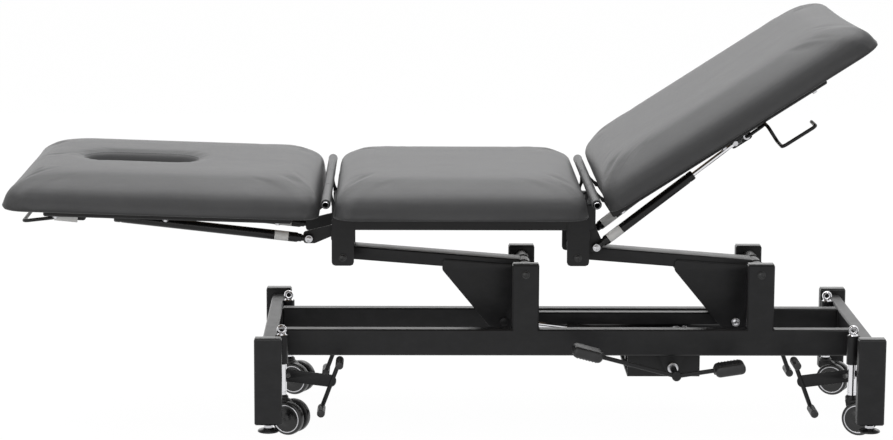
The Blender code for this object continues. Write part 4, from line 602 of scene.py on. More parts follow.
# %% Rings of a cushion
HEAD_TILT, BACK_TILT = math.radians(1.7), math.radians(32.8)
UNDERSIDE = -38 * MM
HALF_WIDTH = 0.350
CUSHION_START = 11.2 * MM
SIDE_PROFILE = ((8.0, 0.0), (3.5, 0.035), (0.8, 0.085), (0.0, 0.15), (1.2, 0.28), (4.2, 0.42),
                (9.5, 0.55), (18.0, 0.67), (30.0, 0.77), (46.0, 0.86), (66.0, 0.925),
                (92.0, 0.97), (122.0, 0.992), (155.0, 1.0))
HINGE_LEAN_SHARE, FREE_END = 0.52, 0.65
PLAN_CORNER = 45 * MM
FACE_HOLE = (0.426, 0.1255, 0.065)
HOLE_FLARE = ((30.0, -7.0), (16.0, -3.5), (8.0, -0.5), (3.0, 2.0), (1.0, 3.5), (0.0, 5.0))
BOARD_HOLE_MARGIN = 8 * MM


def section_frame(name):
    """The frame of a section: at its hinge, turned by its tilt. The middle one is level."""
    if name == "centre":
        return Matrix.Translation(pivot("head_tilt"))
    turn = HEAD_TILT if name == "head" else -BACK_TILT
    return Matrix.Translation(pivot(f"{name}_tilt")) @ Matrix.Rotation(turn, 4, "Y")


def smooth_profile(points, steps=4):
    """More points on a smooth curve through the given ones."""
    curve = []
    for index in range(len(points) - 1):
        a, b, c, d = (Vector(points[max(0, min(len(points) - 1, index + k))]) for k in (-1, 0, 1, 2))
        for step in range(steps):
            t = step / steps
            curve.append(0.5 * ((2 * b) + (c - a) * t + (2 * a - 5 * b + 4 * c - d) * t * t
                                + (3 * b - a - 3 * c + d) * t ** 3))
    return curve + [Vector(points[-1])]


def cushion_outline(half_x, half_y, corner, pulls, corner_steps=12, side_steps=26):
    """A rounded rectangle; `pulls` says how far each side is pulled in between its corners."""
    ring = []
    for quarter, (sign_x, sign_y) in enumerate(((1, 1), (-1, 1), (-1, -1), (1, -1))):
        start = math.pi / 2 * quarter
        centre = Vector((sign_x * (half_x - corner), sign_y * (half_y - corner)))
        arc_points = [centre + corner * Vector((math.cos(start + math.pi / 2 * step / corner_steps),
                                                math.sin(start + math.pi / 2 * step / corner_steps)))
                      for step in range(corner_steps + 1)]
        ring.append(arc_points)
    whole = []
    for quarter, arc_points in enumerate(ring):
        after = ring[(quarter + 1) % 4][0]
        inward = -Vector((math.cos(math.pi / 2 * (quarter + 1)), math.sin(math.pi / 2 * (quarter + 1))))
        whole += arc_points
        for step in range(1, side_steps):
            share = step / side_steps
            pull = inward * pulls[quarter] * math.sin(math.pi * share)
            whole.append(arc_points[-1].lerp(after, share) + pull)
    return whole


def cushion_shape(low_x, high_x, thickness, shrink):
    """A closed cushion before the foam pushes; ends beside a hinge stand up straighter."""
    low_lean, high_lean = (1.0 if abs(end) > FREE_END else HINGE_LEAN_SHARE for end in (low_x, high_x))
    shape, rings = bmesh.new(), []
    for inset, share in smooth_profile(SIDE_PROFILE):
        inset = inset * MM + shrink * min(1.0, share * 6)
        corner = PLAN_CORNER + inset * 0.25
        pull = 4 * MM * min(1.0, share * 5) * max(0.0, 1 - inset / 0.09)
        pulls = (pull, pull * (low_lean == 1.0), pull, pull * (high_lean == 1.0))
        start_x, end_x = low_x + inset * low_lean, high_x - inset * high_lean
        half_x, middle = (end_x - start_x) / 2, (start_x + end_x) / 2
        ring = cushion_outline(half_x, HALF_WIDTH - inset, corner, pulls)
        height = UNDERSIDE + share * (thickness - shrink)
        rings.append([shape.verts.new((middle + point.x, point.y, height)) for point in ring])
    return skinned(shape, rings)


def stadium(centre, half_length, half_width, steps=16):
    """A long hole with round ends, as an outline in plan."""
    reach = half_length - half_width
    outline = []
    for end in (1, -1):
        for step in range(steps + 1):
            turn = -math.pi / 2 + math.pi * step / steps
            outline.append((centre + end * (reach + half_width * math.cos(turn)),
                            end * half_width * math.sin(turn)))
    return outline


def loft(rings):
    """A closed shape from outlines at several heights."""
    shape = bmesh.new()
    return skinned(shape, [[shape.verts.new((x, y, z)) for x, y in outline] for z, outline in rings])


def loose(name, shape):
    """A shape as an object that is only used for work on others."""
    mesh = bpy.data.meshes.new(name)
    shape.to_mesh(mesh)
    shape.free()
    piece = bpy.data.objects.new(name, mesh)
    bpy.context.scene.collection.objects.link(piece)
    return piece


def apply_modifiers(piece):
    graph = bpy.context.evaluated_depsgraph_get()
    graph.update()
    mesh = bpy.data.meshes.new_from_object(piece.evaluated_get(graph))
    piece.modifiers.clear()
    old, piece.data = piece.data, mesh
    bpy.data.meshes.remove(old)


def carve(piece, cutter):
    """Cuts one object out of another and removes it."""
    step = piece.modifiers.new("cut", "BOOLEAN")
    step.operation, step.solver, step.object = "DIFFERENCE", "EXACT", cutter
    apply_modifiers(piece)
    bpy.data.objects.remove(cutter)


def hole_cutter(margin=0.0, lowest=-0.060, flare=(), top=0.043):
    """What is cut for the face hole; the vinyl sleeve in it widens towards the top."""
    x, half_length, half_width = FACE_HOLE[0], FACE_HOLE[1] + margin, FACE_HOLE[2] + margin
    levels = [(lowest, flare[0][1] * MM if flare else 0.0)]
    levels += [(top - depth * MM, grow * MM) for depth, grow in flare]
    levels.append((top + 0.03, levels[-1][1]))
    return loft([(z, stadium(-x, half_length + grow, half_width + grow)) for z, grow in levels])


def board_cutter(low_x, high_x, holed):
    """The pocket for the board in the underside of a cushion."""
    inset = 21.7 * MM
    outline = cushion_outline((high_x - low_x) / 2 - inset, HALF_WIDTH - inset, 30 * MM, (0.0,) * 4)
    outline = [((low_x + high_x) / 2 + point.x, point.y) for point in outline]
    pocket = loose("pocket", loft([(UNDERSIDE - 0.01, outline), (UNDERSIDE + 18.3 * MM, outline)]))
    if holed:
        carve(pocket, loose("lip", hole_cutter(BOARD_HOLE_MARGIN - GAP, UNDERSIDE - 0.02)))
    return pocket


# %% [markdown]
# The simulation runs the same way each time: nothing in it is random.

# %% Foam pressure
PUSH_CAP, PUSH_STEPS, VOXEL = 4.5 * MM, 20, 7.0 * MM


def push_out(piece, pinned):
    """Blows up a cushion's skin with cloth pressure; points in `pinned` hold still."""
    before = [vertex.co.copy() for vertex in piece.data.vertices]
    group = piece.vertex_groups.new(name="pinned")
    group.add([vertex.index for vertex in piece.data.vertices if pinned(vertex.co)], 1.0, "REPLACE")
    cloth = piece.modifiers.new("foam", "CLOTH")
    settings = cloth.settings
    settings.quality, settings.mass = 4, 0.35
    settings.tension_stiffness = settings.compression_stiffness = 22.0
    settings.shear_stiffness, settings.bending_stiffness = 8.0, 1.2
    settings.use_pressure, settings.uniform_pressure_force = True, 4.0
    settings.vertex_group_mass = "pinned"
    settings.effector_weights.gravity = 0.0
    cloth.collision_settings.use_collision = False
    cloth.point_cache.frame_start, cloth.point_cache.frame_end = 1, PUSH_STEPS
    for step in range(1, PUSH_STEPS + 1):
        bpy.context.scene.frame_set(step)
    apply_modifiers(piece)
    bpy.context.scene.frame_set(1)
    moved_most = 0.0
    for vertex, start in zip(piece.data.vertices, before):
        push = vertex.co - start
        length = push.length
        moved_most = max(moved_most, length)
        if length > 1e-7:
            vertex.co = start + push * (PUSH_CAP * math.tanh(length / PUSH_CAP) / length)
    return moved_most


def soft_folds(piece, low_x, high_x):
    """Shallow pleats where the vinyl is gathered round the lower corners."""
    for vertex in piece.data.vertices:
        point = vertex.co
        side_x = high_x - PLAN_CORNER if point.x > (low_x + high_x) / 2 else low_x + PLAN_CORNER
        side_y = math.copysign(HALF_WIDTH - PLAN_CORNER, point.y)
        out = Vector((point.x - side_x, point.y - side_y))
        inward = out.x * (side_x - (low_x + high_x) / 2) < 0 or out.y * side_y < 0
        if inward or out.length < 20 * MM:
            continue
        turn = math.atan2(abs(out.y), abs(out.x))
        height = (point.z - UNDERSIDE) / 0.045
        fade = max(0.0, 1 - height) ** 1.5 * math.sin(2 * turn) ** 0.5 * min(1.0, height * 8)
        wave = math.sin(turn * 15 + point.z * 90) + 0.5 * math.sin(turn * 27)
        vertex.co.xy += out.normalized() * wave * fade * 0.7 * MM


def make_cushion(name, low_x, high_x, thickness, body, node):
    """One cushion from its rings to the finished skin, in place."""
    holed = name == "head"
    shrink = 3.0 * MM
    piece = loose(f"{name}_cushion_vinyl", cushion_shape(low_x, high_x, thickness, shrink))
    if holed:
        hole = hole_cutter(flare=HOLE_FLARE, top=UNDERSIDE + thickness - shrink)
        carve(piece, loose("face_hole", hole))
    mesh = piece.modifiers.new("even", "REMESH")
    mesh.mode, mesh.voxel_size = "VOXEL", VOXEL
    apply_modifiers(piece)
    smooth = piece.modifiers.new("smooth", "SMOOTH")
    smooth.factor, smooth.iterations = 0.5, 3
    apply_modifiers(piece)

    def pinned(point):
        if point.z < UNDERSIDE + 5 * MM:
            return True
        reach = max(0.0, abs(point.x + FACE_HOLE[0]) - FACE_HOLE[1] + FACE_HOLE[2])
        return holed and math.hypot(reach, point.y) < FACE_HOLE[2] + 10 * MM

    print(name, "cushion:", len(piece.data.vertices), "points, moved up to",
          round(push_out(piece, pinned) / MM, 1), "mm")
    soft_folds(piece, low_x, high_x)
    finer = piece.modifiers.new("finer", "SUBSURF")
    finer.levels = finer.render_levels = 1
    apply_modifiers(piece)
    carve(piece, board_cutter(low_x, high_x, holed))
    piece.data.materials.clear()
    piece.data.materials.append(VINYL.material)
    for face in piece.data.polygons:
        face.material_index = 0
    piece.data.shade_smooth()
    piece.data.set_sharp_from_angle(angle=math.radians(50))
    piece.data.transform(section_frame(name))
    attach(piece, body)
    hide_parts(node)
    return piece


SPAN = pivot("back_tilt").x - pivot("head_tilt").x
CUSHIONS = {
    "head": make_cushion("head", -0.703, -CUSHION_START, 81 * MM, "head_section", "head_cushion"),
    "centre": make_cushion("centre", CUSHION_START, SPAN - CUSHION_START, 81 * MM, "top",
                           "centre_cushion"),
    "back": make_cushion("back", CUSHION_START, 0.7015, 86 * MM, "back_section", "back_cushion"),
}

# %% [markdown]
# The rim of the face hole has a row of stitches in grey thread, each laid on the finished
# skin where the inner sleeve of vinyl meets the top.

# %% Stitches round the face hole
STITCH_PITCH, STITCH_LENGTH, THREAD_RADIUS = 6.6 * MM, 3.6 * MM, 0.8 * MM
STITCH_OUT = 4.5 * MM


def even_points(outline, pitch):
    """Points at an even distance along a closed outline, each with its direction."""
    loop = [Vector((x, y, 0)) for x, y in outline]
    edges = list(zip(loop, loop[1:] + loop[:1]))
    total = sum((b - a).length for a, b in edges)
    count = int(total / pitch)
    points, walked, index = [], 0.0, 0
    for step in range(count):
        target = total * step / count
        while walked + (edges[index][1] - edges[index][0]).length < target:
            walked += (edges[index][1] - edges[index][0]).length
            index += 1
        start, end = edges[index]
        points.append((start + (end - start).normalized() * (target - walked),
                       (end - start).normalized()))
    return points


def stitches():
    """Short threads that dip into the vinyl at both ends."""
    cushion, place = CUSHIONS["head"], section_frame("head")
    skin_inverse = cushion.matrix_world.inverted()
    rim = stadium(-FACE_HOLE[0], FACE_HOLE[1] + STITCH_OUT, FACE_HOLE[2] + STITCH_OUT, 24)
    threads = []
    for spot, along in even_points(rim, STITCH_PITCH):
        above = place @ (spot + Vector((0, 0, 0.040)))
        _, point, normal, _ = cushion.closest_point_on_mesh(skin_inverse @ above)
        point = cushion.matrix_world @ point
        normal = (cushion.matrix_world.to_3x3() @ normal).normalized()
        along = (place.to_3x3() @ along).normalized()
        half = along * STITCH_LENGTH / 2
        lift = normal * THREAD_RADIUS
        threads.append(swept([point - half - lift, point - half * 0.7 + lift * 0.5, point + lift * 0.9,
                              point + half * 0.7 + lift * 0.5, point + half - lift], THREAD_RADIUS, 8))
    make("face_hole_stitches", "head_section", SEAM, "grey_vinyl", *threads)


stitches()

# %% [markdown]
# ## Bolts, arms and shafts of the lift
# Two bell cranks carry the top. Each is a box arm between two sleeves, with a pair of
# gusset plates welded on, and turns on shafts with domed bolts and washers.

# %% Bolts and nuts
def hexagon(start, direction, flats, length, edge=0.8 * MM):
    """A nut or bolt head with bevelled corners."""
    radius = flats / 2 / math.cos(math.pi / 6)
    profile = [(0, 0), (0, radius - edge), (edge * 0.6, radius), (length - edge * 0.6, radius),
               (length, radius - edge), (length, 0)]
    return lathe(start, direction, profile, 6)


def dome_bolt(start, direction, radius=9.5 * MM, height=5 * MM):
    """A washer with a domed head that has a socket in it."""
    cap = radius * 0.78
    profile = [(0, 0), (0, radius - 0.4 * MM), (0.4 * MM, radius), (1.2 * MM, radius),
               (1.6 * MM, radius - 0.5 * MM), (1.6 * MM, cap), (2.4 * MM, cap),
               (height * 0.72, cap * 0.93), (height * 0.9, cap * 0.72), (height, cap * 0.45),
               (height - 0.2 * MM, cap * 0.40), (height - 2 * MM, cap * 0.38), (height - 2 * MM, 0)]
    return lathe(start, direction, profile)


def headed_shaft(name, body, x, z, y_low, y_high, nodes, low_head=True, finish=BOLT, slot="black_steel"):
    """A shaft along Y with a domed bolt outside each end that has one."""
    shapes = [across(x, z, y_low, y_high, 6 * MM), dome_bolt((x, y_high, z), (0, 1, 0))]
    if low_head:
        shapes.append(dome_bolt((x, y_low, z), (0, -1, 0)))
    return make(name, body, finish, slot, *shapes, nodes=nodes)


# %% Bell cranks
POST, FOOT_POST, TAB, CRANK = map(pivot, ("lift", "lift_arm_foot_turn", "top_level", "tie_bar_turn"))
ARM_RUN, ARM_RISE = POST.x - TAB.x, TAB.z - POST.z
CRANK_OFFSET = CRANK - POST
GUSSET_Y = (28.5 * MM, 33.5 * MM)
POST_HALF, TAB_HALF, BOLT_Y, TAB_BOLT_Y = 104.7 * MM, 97.7 * MM, 135.3 * MM, 103.3 * MM


def sleeve(x, z, half, radius=15 * MM):
    """A thick tube round a shaft, with a turned step at both ends."""
    step = [(0, 7 * MM), (0, radius - 1.5 * MM), (0.6 * MM, radius - 0.7 * MM),
            (3 * MM, radius - 0.6 * MM), (3.4 * MM, radius)]
    other_step = [(2 * half - along, reach) for along, reach in reversed(step)]
    return lathe((x, -half, z), (0, 1, 0), step + other_step + step[:1])


def ring_weld(x, y, z, radius):
    """A weld round a sleeve where it meets the arm."""
    return [(x + radius * math.cos(turn), y, z + radius * math.sin(turn))
            for turn in (2 * math.pi * step / 24 for step in range(25))]


def bell_crank(end, post):
    body, tab = f"lift_arm_{end}", post + Vector((-ARM_RUN, 0, ARM_RISE))
    along = (tab - post).normalized()
    shapes = [beam(post + along * 8 * MM, tab - along * 8 * MM, 60 * MM, 30 * MM, 3.2 * MM),
              sleeve(post.x, post.z, POST_HALF), sleeve(tab.x, tab.z, TAB_HALF)]
    outline = [(-0.186, 0.186 * ARM_RISE / ARM_RUN), (-0.186, -0.008), (-0.062, -0.158),
               (-0.030, -0.172), (0.014, 0)]
    outline = [(post.x + x, post.z + z) for x, z in rounded_outline(outline, 12 * MM)]
    hole = circle(post.x + CRANK_OFFSET.x, post.z + CRANK_OFFSET.z, 6.3 * MM, 28)
    beads = []
    for sign in (-1, 1):
        low, high = sorted((sign * GUSSET_Y[0], sign * GUSSET_Y[1]))
        shapes.append(cut_plate(outline, low, high, [hole], 0.6 * MM))
        y = sign * (GUSSET_Y[1] - 1.5 * MM)
        beads.append(weld_bead([post + along * 0.020 + Vector((0, y, 1.5 * MM)),
                                post + along * 0.182 + Vector((0, y, 1.5 * MM))], 2.2 * MM))
        for spot in (post, tab):
            beads.append(weld_bead(ring_weld(spot.x, sign * 31.5 * MM, spot.z, 15.2 * MM), 2.0 * MM))
    if end == "head":
        crank = post + CRANK_OFFSET
        shapes.append(across(crank.x, crank.z, -38.5 * MM, -32.0 * MM, 9.5 * MM))
    make(f"bell_crank_{end}", body, COAT, "black_steel", *shapes, nodes=[f"lift_arm_{end}"])
    make(f"bell_crank_welds_{end}", body, WELD, "black_steel", *beads)


bell_crank("head", POST)
bell_crank("foot", FOOT_POST)
for end, post in (("head", POST), ("foot", FOOT_POST)):
    headed_shaft(f"post_bolts_{end}", "base", post.x, post.z, -BOLT_Y, BOLT_Y, [f"post_shaft_{end}"])
    headed_shaft(f"tab_bolts_{end}", "top", post.x - ARM_RUN, post.z + ARM_RISE, -TAB_BOLT_Y, TAB_BOLT_Y,
                 [f"tab_shaft_{end}"])
    crank, head_end = post + CRANK_OFFSET, end == "head"
    y_low = -3 * MM if head_end else -33.8 * MM
    headed_shaft(f"crank_bolt_{end}", f"lift_arm_{end}", crank.x, crank.z, y_low, 33.8 * MM,
                 [f"crank_pin_{end}"], not head_end, ZINC, "chrome")

# %% [markdown]
# ## Pump, ram and foot lever
# The pump is a small oil tank with its valve block, laid in a tray between the rails. Its
# ram pushes on the head bell crank, and the rocking lever crosses the near rail on a shaft.

# %% Pump and ram
RAM = pivot("ram_swing")
RAM_RUN = Vector((CRANK.x, RAM.y, CRANK.z)) - RAM
PUMP_FLOOR, PUMP_HEAD, PUMP_FOOT = 112.3 * MM, BASE_X + 0.146, BASE_X + 0.300
LEVER = pivot("pump_rock")


def pump():
    tank_z, block_x = PUMP_FLOOR + 30 * MM, PUMP_FOOT - 48 * MM
    tank_profile = in_mm((0, 0), (0, 25), (1.5, 28.5), (5, 30), (12, 30), (12.6, 29.2), (14, 29.2),
                         (14.6, 30), (107, 30), (107, 0))
    shapes = [lathe((PUMP_HEAD, 42 * MM, tank_z), (1, 0, 0), tank_profile),
              box((block_x, 0.2 * MM, PUMP_FLOOR), (PUMP_FOOT, 76 * MM, 184 * MM), 2.5 * MM)]
    for sign in (-1, 1):
        low, high = sorted((RAM.y + sign * 13.6 * MM, RAM.y + sign * 19.6 * MM))
        shapes.append(box((RAM.x - 14 * MM, low, RAM.z - 14 * MM),
                          (PUMP_FOOT - 3 * MM, high, RAM.z + 14 * MM), 1.2 * MM))
    shapes.append(box((RAM.x + 15.2 * MM, RAM.y - 16.6 * MM, PUMP_FLOOR + 5 * MM),
                      (PUMP_FOOT - 5 * MM, 30 * MM, 181 * MM), 1.2 * MM))
    make("pump_tank_and_block", "base", COAT, "black_steel", *shapes, nodes=["pump_body"])
    bolts = [across(RAM.x, RAM.z, RAM.y - 21.0 * MM, RAM.y + 21.0 * MM, 5 * MM),
             hexagon((RAM.x, RAM.y - 19.6 * MM, RAM.z), (0, -1, 0), 13 * MM, 5 * MM),
             hexagon((PUMP_HEAD, 42 * MM, tank_z), (-1, 0, 0), 17 * MM, 4.5 * MM),
             hexagon((block_x + 14 * MM, 58 * MM, 184 * MM), (0, 0, 1), 13 * MM, 4.5 * MM),
             hexagon((block_x + 34 * MM, 58 * MM, 184 * MM), (0, 0, 1), 10 * MM, 5.5 * MM)]
    make("pump_plugs", "base", ZINC, "black_steel", *bolts)


def ram():
    along, tip = RAM_RUN.normalized(), RAM + RAM_RUN
    barrel = in_mm((9, 0), (9, 9), (12, 12), (16, 13), (228, 13), (229, 12.2), (231, 12.2), (232, 13),
                   (250, 13), (253, 12), (255, 10.5), (255, 7.3))
    make("ram_barrel_tube", "ram_barrel", COAT, "black_steel", lathe(RAM, along, barrel),
         lathe((RAM.x, RAM.y - 13 * MM, RAM.z), (0, 1, 0),
               ring_in_mm((0, 5.3), (0, 13), (1, 14), (25, 14), (26, 13), (26, 5.3))),
         nodes=["ram_body"])
    make("ram_wiper", "ram_barrel", RUBBER, "black_rubber",
         lathe(RAM + along * 0.2550, along, ring_in_mm((-1, 7.2), (0.8, 7.2), (0.8, 9.5), (-1, 10))))
    rod_profile = in_mm((-275, 0), (-275, 6), (-274, 7), (-12, 7), (-10, 8.5), (0, 8.5), (0, 0))
    eye_low, eye_high = -27.9 * MM, -4 * MM
    eye = in_mm((0, 0), (0, 13), (1, 14)) + in_mm_from(eye_high - eye_low, (-1, 14), (0, 13), (0, 0))
    make("ram_piston_rod", "ram_rod", CHROME, "chrome", lathe(tip, along, rod_profile),
         lathe((tip.x, eye_low, tip.z), (0, 1, 0), eye), nodes=["ram_rod"])


def pedal(name, centre, tip):
    """A ribbed rubber pad over the end of the lever's rod."""
    along = (tip - centre).normalized()
    turn = Matrix.Translation(tip) @ Matrix.Rotation(math.atan2(-along.z, along.x), 4, "Y")
    body = box((-34 * MM, -30 * MM, -13 * MM), (34 * MM, 30 * MM, 12 * MM), 10.5 * MM, 6)
    ribs = [box((x * MM - 1.6 * MM, -22 * MM, 10 * MM), (x * MM + 1.6 * MM, 22 * MM, 13 * MM),
                1.2 * MM, 3) for x in range(-21, 22, 7)]
    collar = lathe((-36 * MM, 0, 0), (1, 0, 0), in_mm((0, 5.3), (0, 8), (1.5, 9.5), (6, 11), (6, 0)))
    make(name, "pump_lever", RUBBER, "black_rubber", body, collar, *ribs,
         nodes=[name.replace("foot_", "")], matrix=turn)


def foot_lever():
    centre = Vector((LEVER.x, -0.230, LEVER.z))
    raise_tip, lower_tip = centre + Vector((-0.199, 0, 0.052)), centre + Vector((0.118, 0, 0.018))
    shaft = cylinder((LEVER.x, -0.230, LEVER.z), (LEVER.x, 0.021, LEVER.z), 7 * MM)
    boss = lathe((LEVER.x, -0.237, LEVER.z), (0, 1, 0),
                 in_mm((0, 0), (0, 9), (1.2, 10.5), (20, 10.5), (21, 9.5), (21, 0)))
    make("foot_lever_rod", "pump_lever", COAT, "black_steel",
         wire((raise_tip, centre, lower_tip), 5 * MM, 40 * MM),
         shaft, boss, nodes=["pump_lever"])
    collar = ring_in_mm((0, 7.2), (0, 11), (1, 12), (8, 12), (9, 11), (9, 7.2))
    make("foot_lever_collar", "pump_lever", ZINC, "chrome",
         lathe((LEVER.x, -0.152, LEVER.z), (0, 1, 0), collar))
    pedal("foot_pedal_raise", centre, raise_tip)
    pedal("foot_pedal_lower", centre, lower_tip)


pump()
ram()
foot_lever()

# %% [markdown]
# ## Casters and their levers
# Twin wheels on a swivelling fork under a chrome stem. The stem slides in its guide tube
# when the flat lever is turned with one of the two rubber-covered treadles.

# %% Casters
STEM_BOTTOM, BEAM_TOP = 86 * MM, 221 * MM
WHEEL_RADIUS, SWIVEL, TRAIL = 37.5 * MM, math.radians(-25.0), 22 * MM


def ring_eye(x, y, z):
    """A round eye with a hole, turned as a ring about Y."""
    middle, thick = 8.4 * MM, 3.1 * MM
    turns = (2 * math.pi * step / 14 for step in range(14))
    section = [(thick * 1.6 * math.sin(turn), middle + thick * math.cos(turn)) for turn in turns]
    return lathe((x, y, z), (0, 1, 0), section + [section[0]])


def wheel(sign):
    """One wheel: a tyre with a rounded tread, a dished side and a cap, along its local Y."""
    tyre = in_mm((7.2, 7.0), (7.2, 34.5), (8.2, 36.6), (10.0, 37.4), (13, 37.5), (20, 37.5),
                 (22.6, 36.9), (24.2, 35.4), (25.0, 33.2), (25.0, 31.0), (24.0, 30.2))
    side = in_mm((24.0, 30.2), (22.6, 29.4), (21.8, 26.0), (22.6, 20), (23.8, 14.6), (24.4, 13.6),
                 (24.6, 11), (25.0, 9.6), (25.0, 6.0), (24.6, 3.0), (24.5, 0))
    place, out = Vector((TRAIL, 0, WHEEL_RADIUS)), Vector((0, sign, 0))
    return lathe(place, out, tyre, 56, False), lathe(place, out, side, 56, False)


def caster(end, side):
    tag = f"{end}_{side}"
    slide = pivot(f"swivel_{tag}")
    x, y = slide.x, slide.y
    stem_profile = in_mm((0, 0), (0, 9), (1, 10.5), (7, 10.5), (7.4, 9.4), (9.6, 9.4), (10, 10.5),
                         (136, 10.5), (138, 9), (138, 0))
    inner = SIDES[side] * 0.172
    make(f"caster_stem_chrome_{tag}", f"caster_stem_{tag}", CHROME, "chrome",
         lathe((x, y, STEM_BOTTOM), (0, 0, 1), stem_profile), ring_eye(x, y, BEAM_TOP + 12.4 * MM),
         cylinder((x, y, 127 * MM), (x, inner, 127 * MM), 3 * MM, 0.5 * MM), nodes=[f"caster_stem_{tag}"])
    place = Matrix.Translation((x, y, 0)) @ Matrix.Rotation(SWIVEL, 4, "Z")
    collar = lathe((0, 0, 76.5 * MM), (0, 0, 1),
                   in_mm((0, 0), (0, 13), (1, 14), (6, 14), (9.2, 11), (9.2, 0)))
    web_outline = in_mm((-14, 78.5), (-8.4, 51.5), (8, 23.5), (36, 23.5), (36, 51.5), (14, 78.5))
    web = cut_plate(rounded_outline(web_outline, 5 * MM), -6.4 * MM, 6.4 * MM,
                    [circle(TRAIL, WHEEL_RADIUS, 7.3 * MM, 28)], 0.8 * MM)
    hood_outline = in_mm((-9, 50), (4, 40), (40, 62), (14, 79), (-12, 79))
    hood = cut_plate(rounded_outline(hood_outline, 6 * MM), -6.6 * MM, 6.6 * MM, [], 1.5 * MM)
    make(f"caster_fork_moulding_{tag}", f"caster_fork_{tag}", PLASTIC, "black_plastic", collar, web, hood,
         nodes=[f"caster_fork_{tag}"], matrix=place)
    tyres, sides = zip(wheel(-1), wheel(1))
    axle = cylinder((TRAIL, -7.4 * MM, WHEEL_RADIUS), (TRAIL, 7.4 * MM, WHEEL_RADIUS), 6.9 * MM)
    make(f"caster_tyres_{tag}", f"caster_wheels_{tag}", TYRE, "black_rubber", *tyres, axle,
         nodes=[f"caster_wheels_{tag}"], matrix=place)
    make(f"caster_wheel_sides_{tag}", f"caster_wheels_{tag}", WHEEL_SIDE, "black_rubber", *sides,
         matrix=place)
    rim = ring_in_mm((24.4, 29.0), (25.2, 29.6), (25.4, 30.6), (25.0, 31.4), (24.2, 31.2))
    rims = [lathe((TRAIL, 0, WHEEL_RADIUS), (0, sign, 0), rim, 56) for sign in (-1, 1)]
    make(f"caster_rims_{tag}", f"caster_wheels_{tag}", ZINC, "chrome", *rims, matrix=place)
    guide = ring_in_mm((0, 10.8), (0, 13.2), (0.7, 13.6), (64.6, 13.6), (65.3, 13.0), (65.3, 10.8))
    make(f"guide_tube_{tag}", "base", COAT, "black_steel", lathe((x, y, 156.6 * MM), (0, 0, 1), guide))


def treadle(end):
    """Cross shaft, flat slotted levers and treadles of one end."""
    sign, body = ENDS[end], f"wheel_lever_{end}"
    hub = pivot(f"{body}_turn")
    shapes, pads = [cylinder((hub.x, -0.227, hub.z), (hub.x, 0.227, hub.z), 7 * MM)], []
    along = Vector((-sign * 0.139, 0, -0.018)).normalized()
    across_line = Vector((-along.z, 0, along.x))
    reach = (hub.x - pivot(f"swivel_{end}_near").x) * sign / abs(along.x) + 3 * MM
    for side, out in SIDES.items():
        low, high = sorted((out * 177 * MM, out * 182 * MM))
        start, finish = hub - along * 14 * MM, hub + along * 153 * MM
        corners = [start - across_line * 14 * MM, finish - across_line * 14 * MM,
                   finish + across_line * 14 * MM, start + across_line * 14 * MM]
        slot_middle, slot_corners = hub + along * reach, ((-15, -5), (15, -5), (15, 5), (-15, 5))
        slot = [slot_middle + along * a * MM + across_line * b * MM for a, b in slot_corners]
        shapes.append(cut_plate(rounded_outline([(p.x, p.z) for p in corners], 13.5 * MM, 10), low, high,
                                [rounded_outline([(p.x, p.z) for p in slot], 4.9 * MM, 6)], 0.6 * MM))
        middle = (low + high) / 2
        top = Vector((BASE_X + sign * 0.508, middle, 0.160))
        foot = Vector((BASE_X + sign * 0.549, middle, 0.051))
        shapes.append(cylinder(top, foot, 5 * MM))
        for spot in (top, foot):
            inner, outer = middle - out * 6.7 * MM, middle + out * 60 * MM
            profile = in_mm((0, 0), (0, 7), (1.5, 8.6), (4, 9))
            for groove in range(5):
                at = (12 + groove * 9) * MM
                profile += [(at, 9 * MM), (at + 0.8 * MM, 8.1 * MM), (at + 2.0 * MM, 8.1 * MM),
                            (at + 2.8 * MM, 9 * MM)]
            profile += in_mm((62.5, 9), (65.5, 8.0), (66.7, 5.5), (66.7, 0))
            pads.append(lathe((spot.x, inner, spot.z), (0, out, 0), profile))
        shapes.append(weld_bead(ring_weld(hub.x, out * 184 * MM, hub.z, 7.4 * MM), 1.6 * MM))
        shapes.append(hexagon((hub.x, out * 220.4 * MM, hub.z), (0, out, 0), 15 * MM, 5.5 * MM))
    make(f"treadle_levers_{end}", body, COAT, "black_steel", *shapes, nodes=[body])
    make(f"treadle_rubbers_{end}", body, RUBBER, "black_rubber", *pads)


def levelling_foot(end, side):
    tag = f"{end}_{side}"
    x, y = BASE_X + ENDS[end] * LEG_OUT, SIDES[side] * LEG_Y
    disc = in_mm((0, 0), (0, 22), (1, 23.5), (3.5, 23.4), (5, 21.5), (6, 14), (8.4, 10.5), (9, 9), (9, 0))
    make(f"levelling_pad_{tag}", f"levelling_foot_{tag}", PLASTIC, "black_plastic",
         lathe((x, y, 24 * MM), (0, 0, 1), disc), nodes=[f"levelling_foot_{tag}"])
    thread = [(2 * MM + step * 0.75 * MM, (5.0 if step % 2 else 4.4) * MM) for step in range(60)]
    stud = in_mm((0, 0), (0, 5)) + thread + in_mm((47, 4.4), (47, 0))
    make(f"levelling_stud_{tag}", f"levelling_foot_{tag}", ZINC, "chrome",
         lathe((x, y, 32 * MM), (0, 0, 1), stud),
         hexagon((x, y, 33.0 * MM), (0, 0, 1), 17 * MM, 6.5 * MM))


for end in ENDS:
    treadle(end)
    for side in SIDES:
        caster(end, side)
        levelling_foot(end, side)

# %% [markdown]
# ## Hinge sleeves
# The hinge tubes are wrapped in the same vinyl. The wrap is open where the steel ears reach
# the tube, is bridged over them, and its folded ends show the bare tube inside.

# %% Hinge sleeves
SLEEVE_ENDS = (-0.338, -0.1163, -0.0987, 0.0987, 0.1163, 0.338)


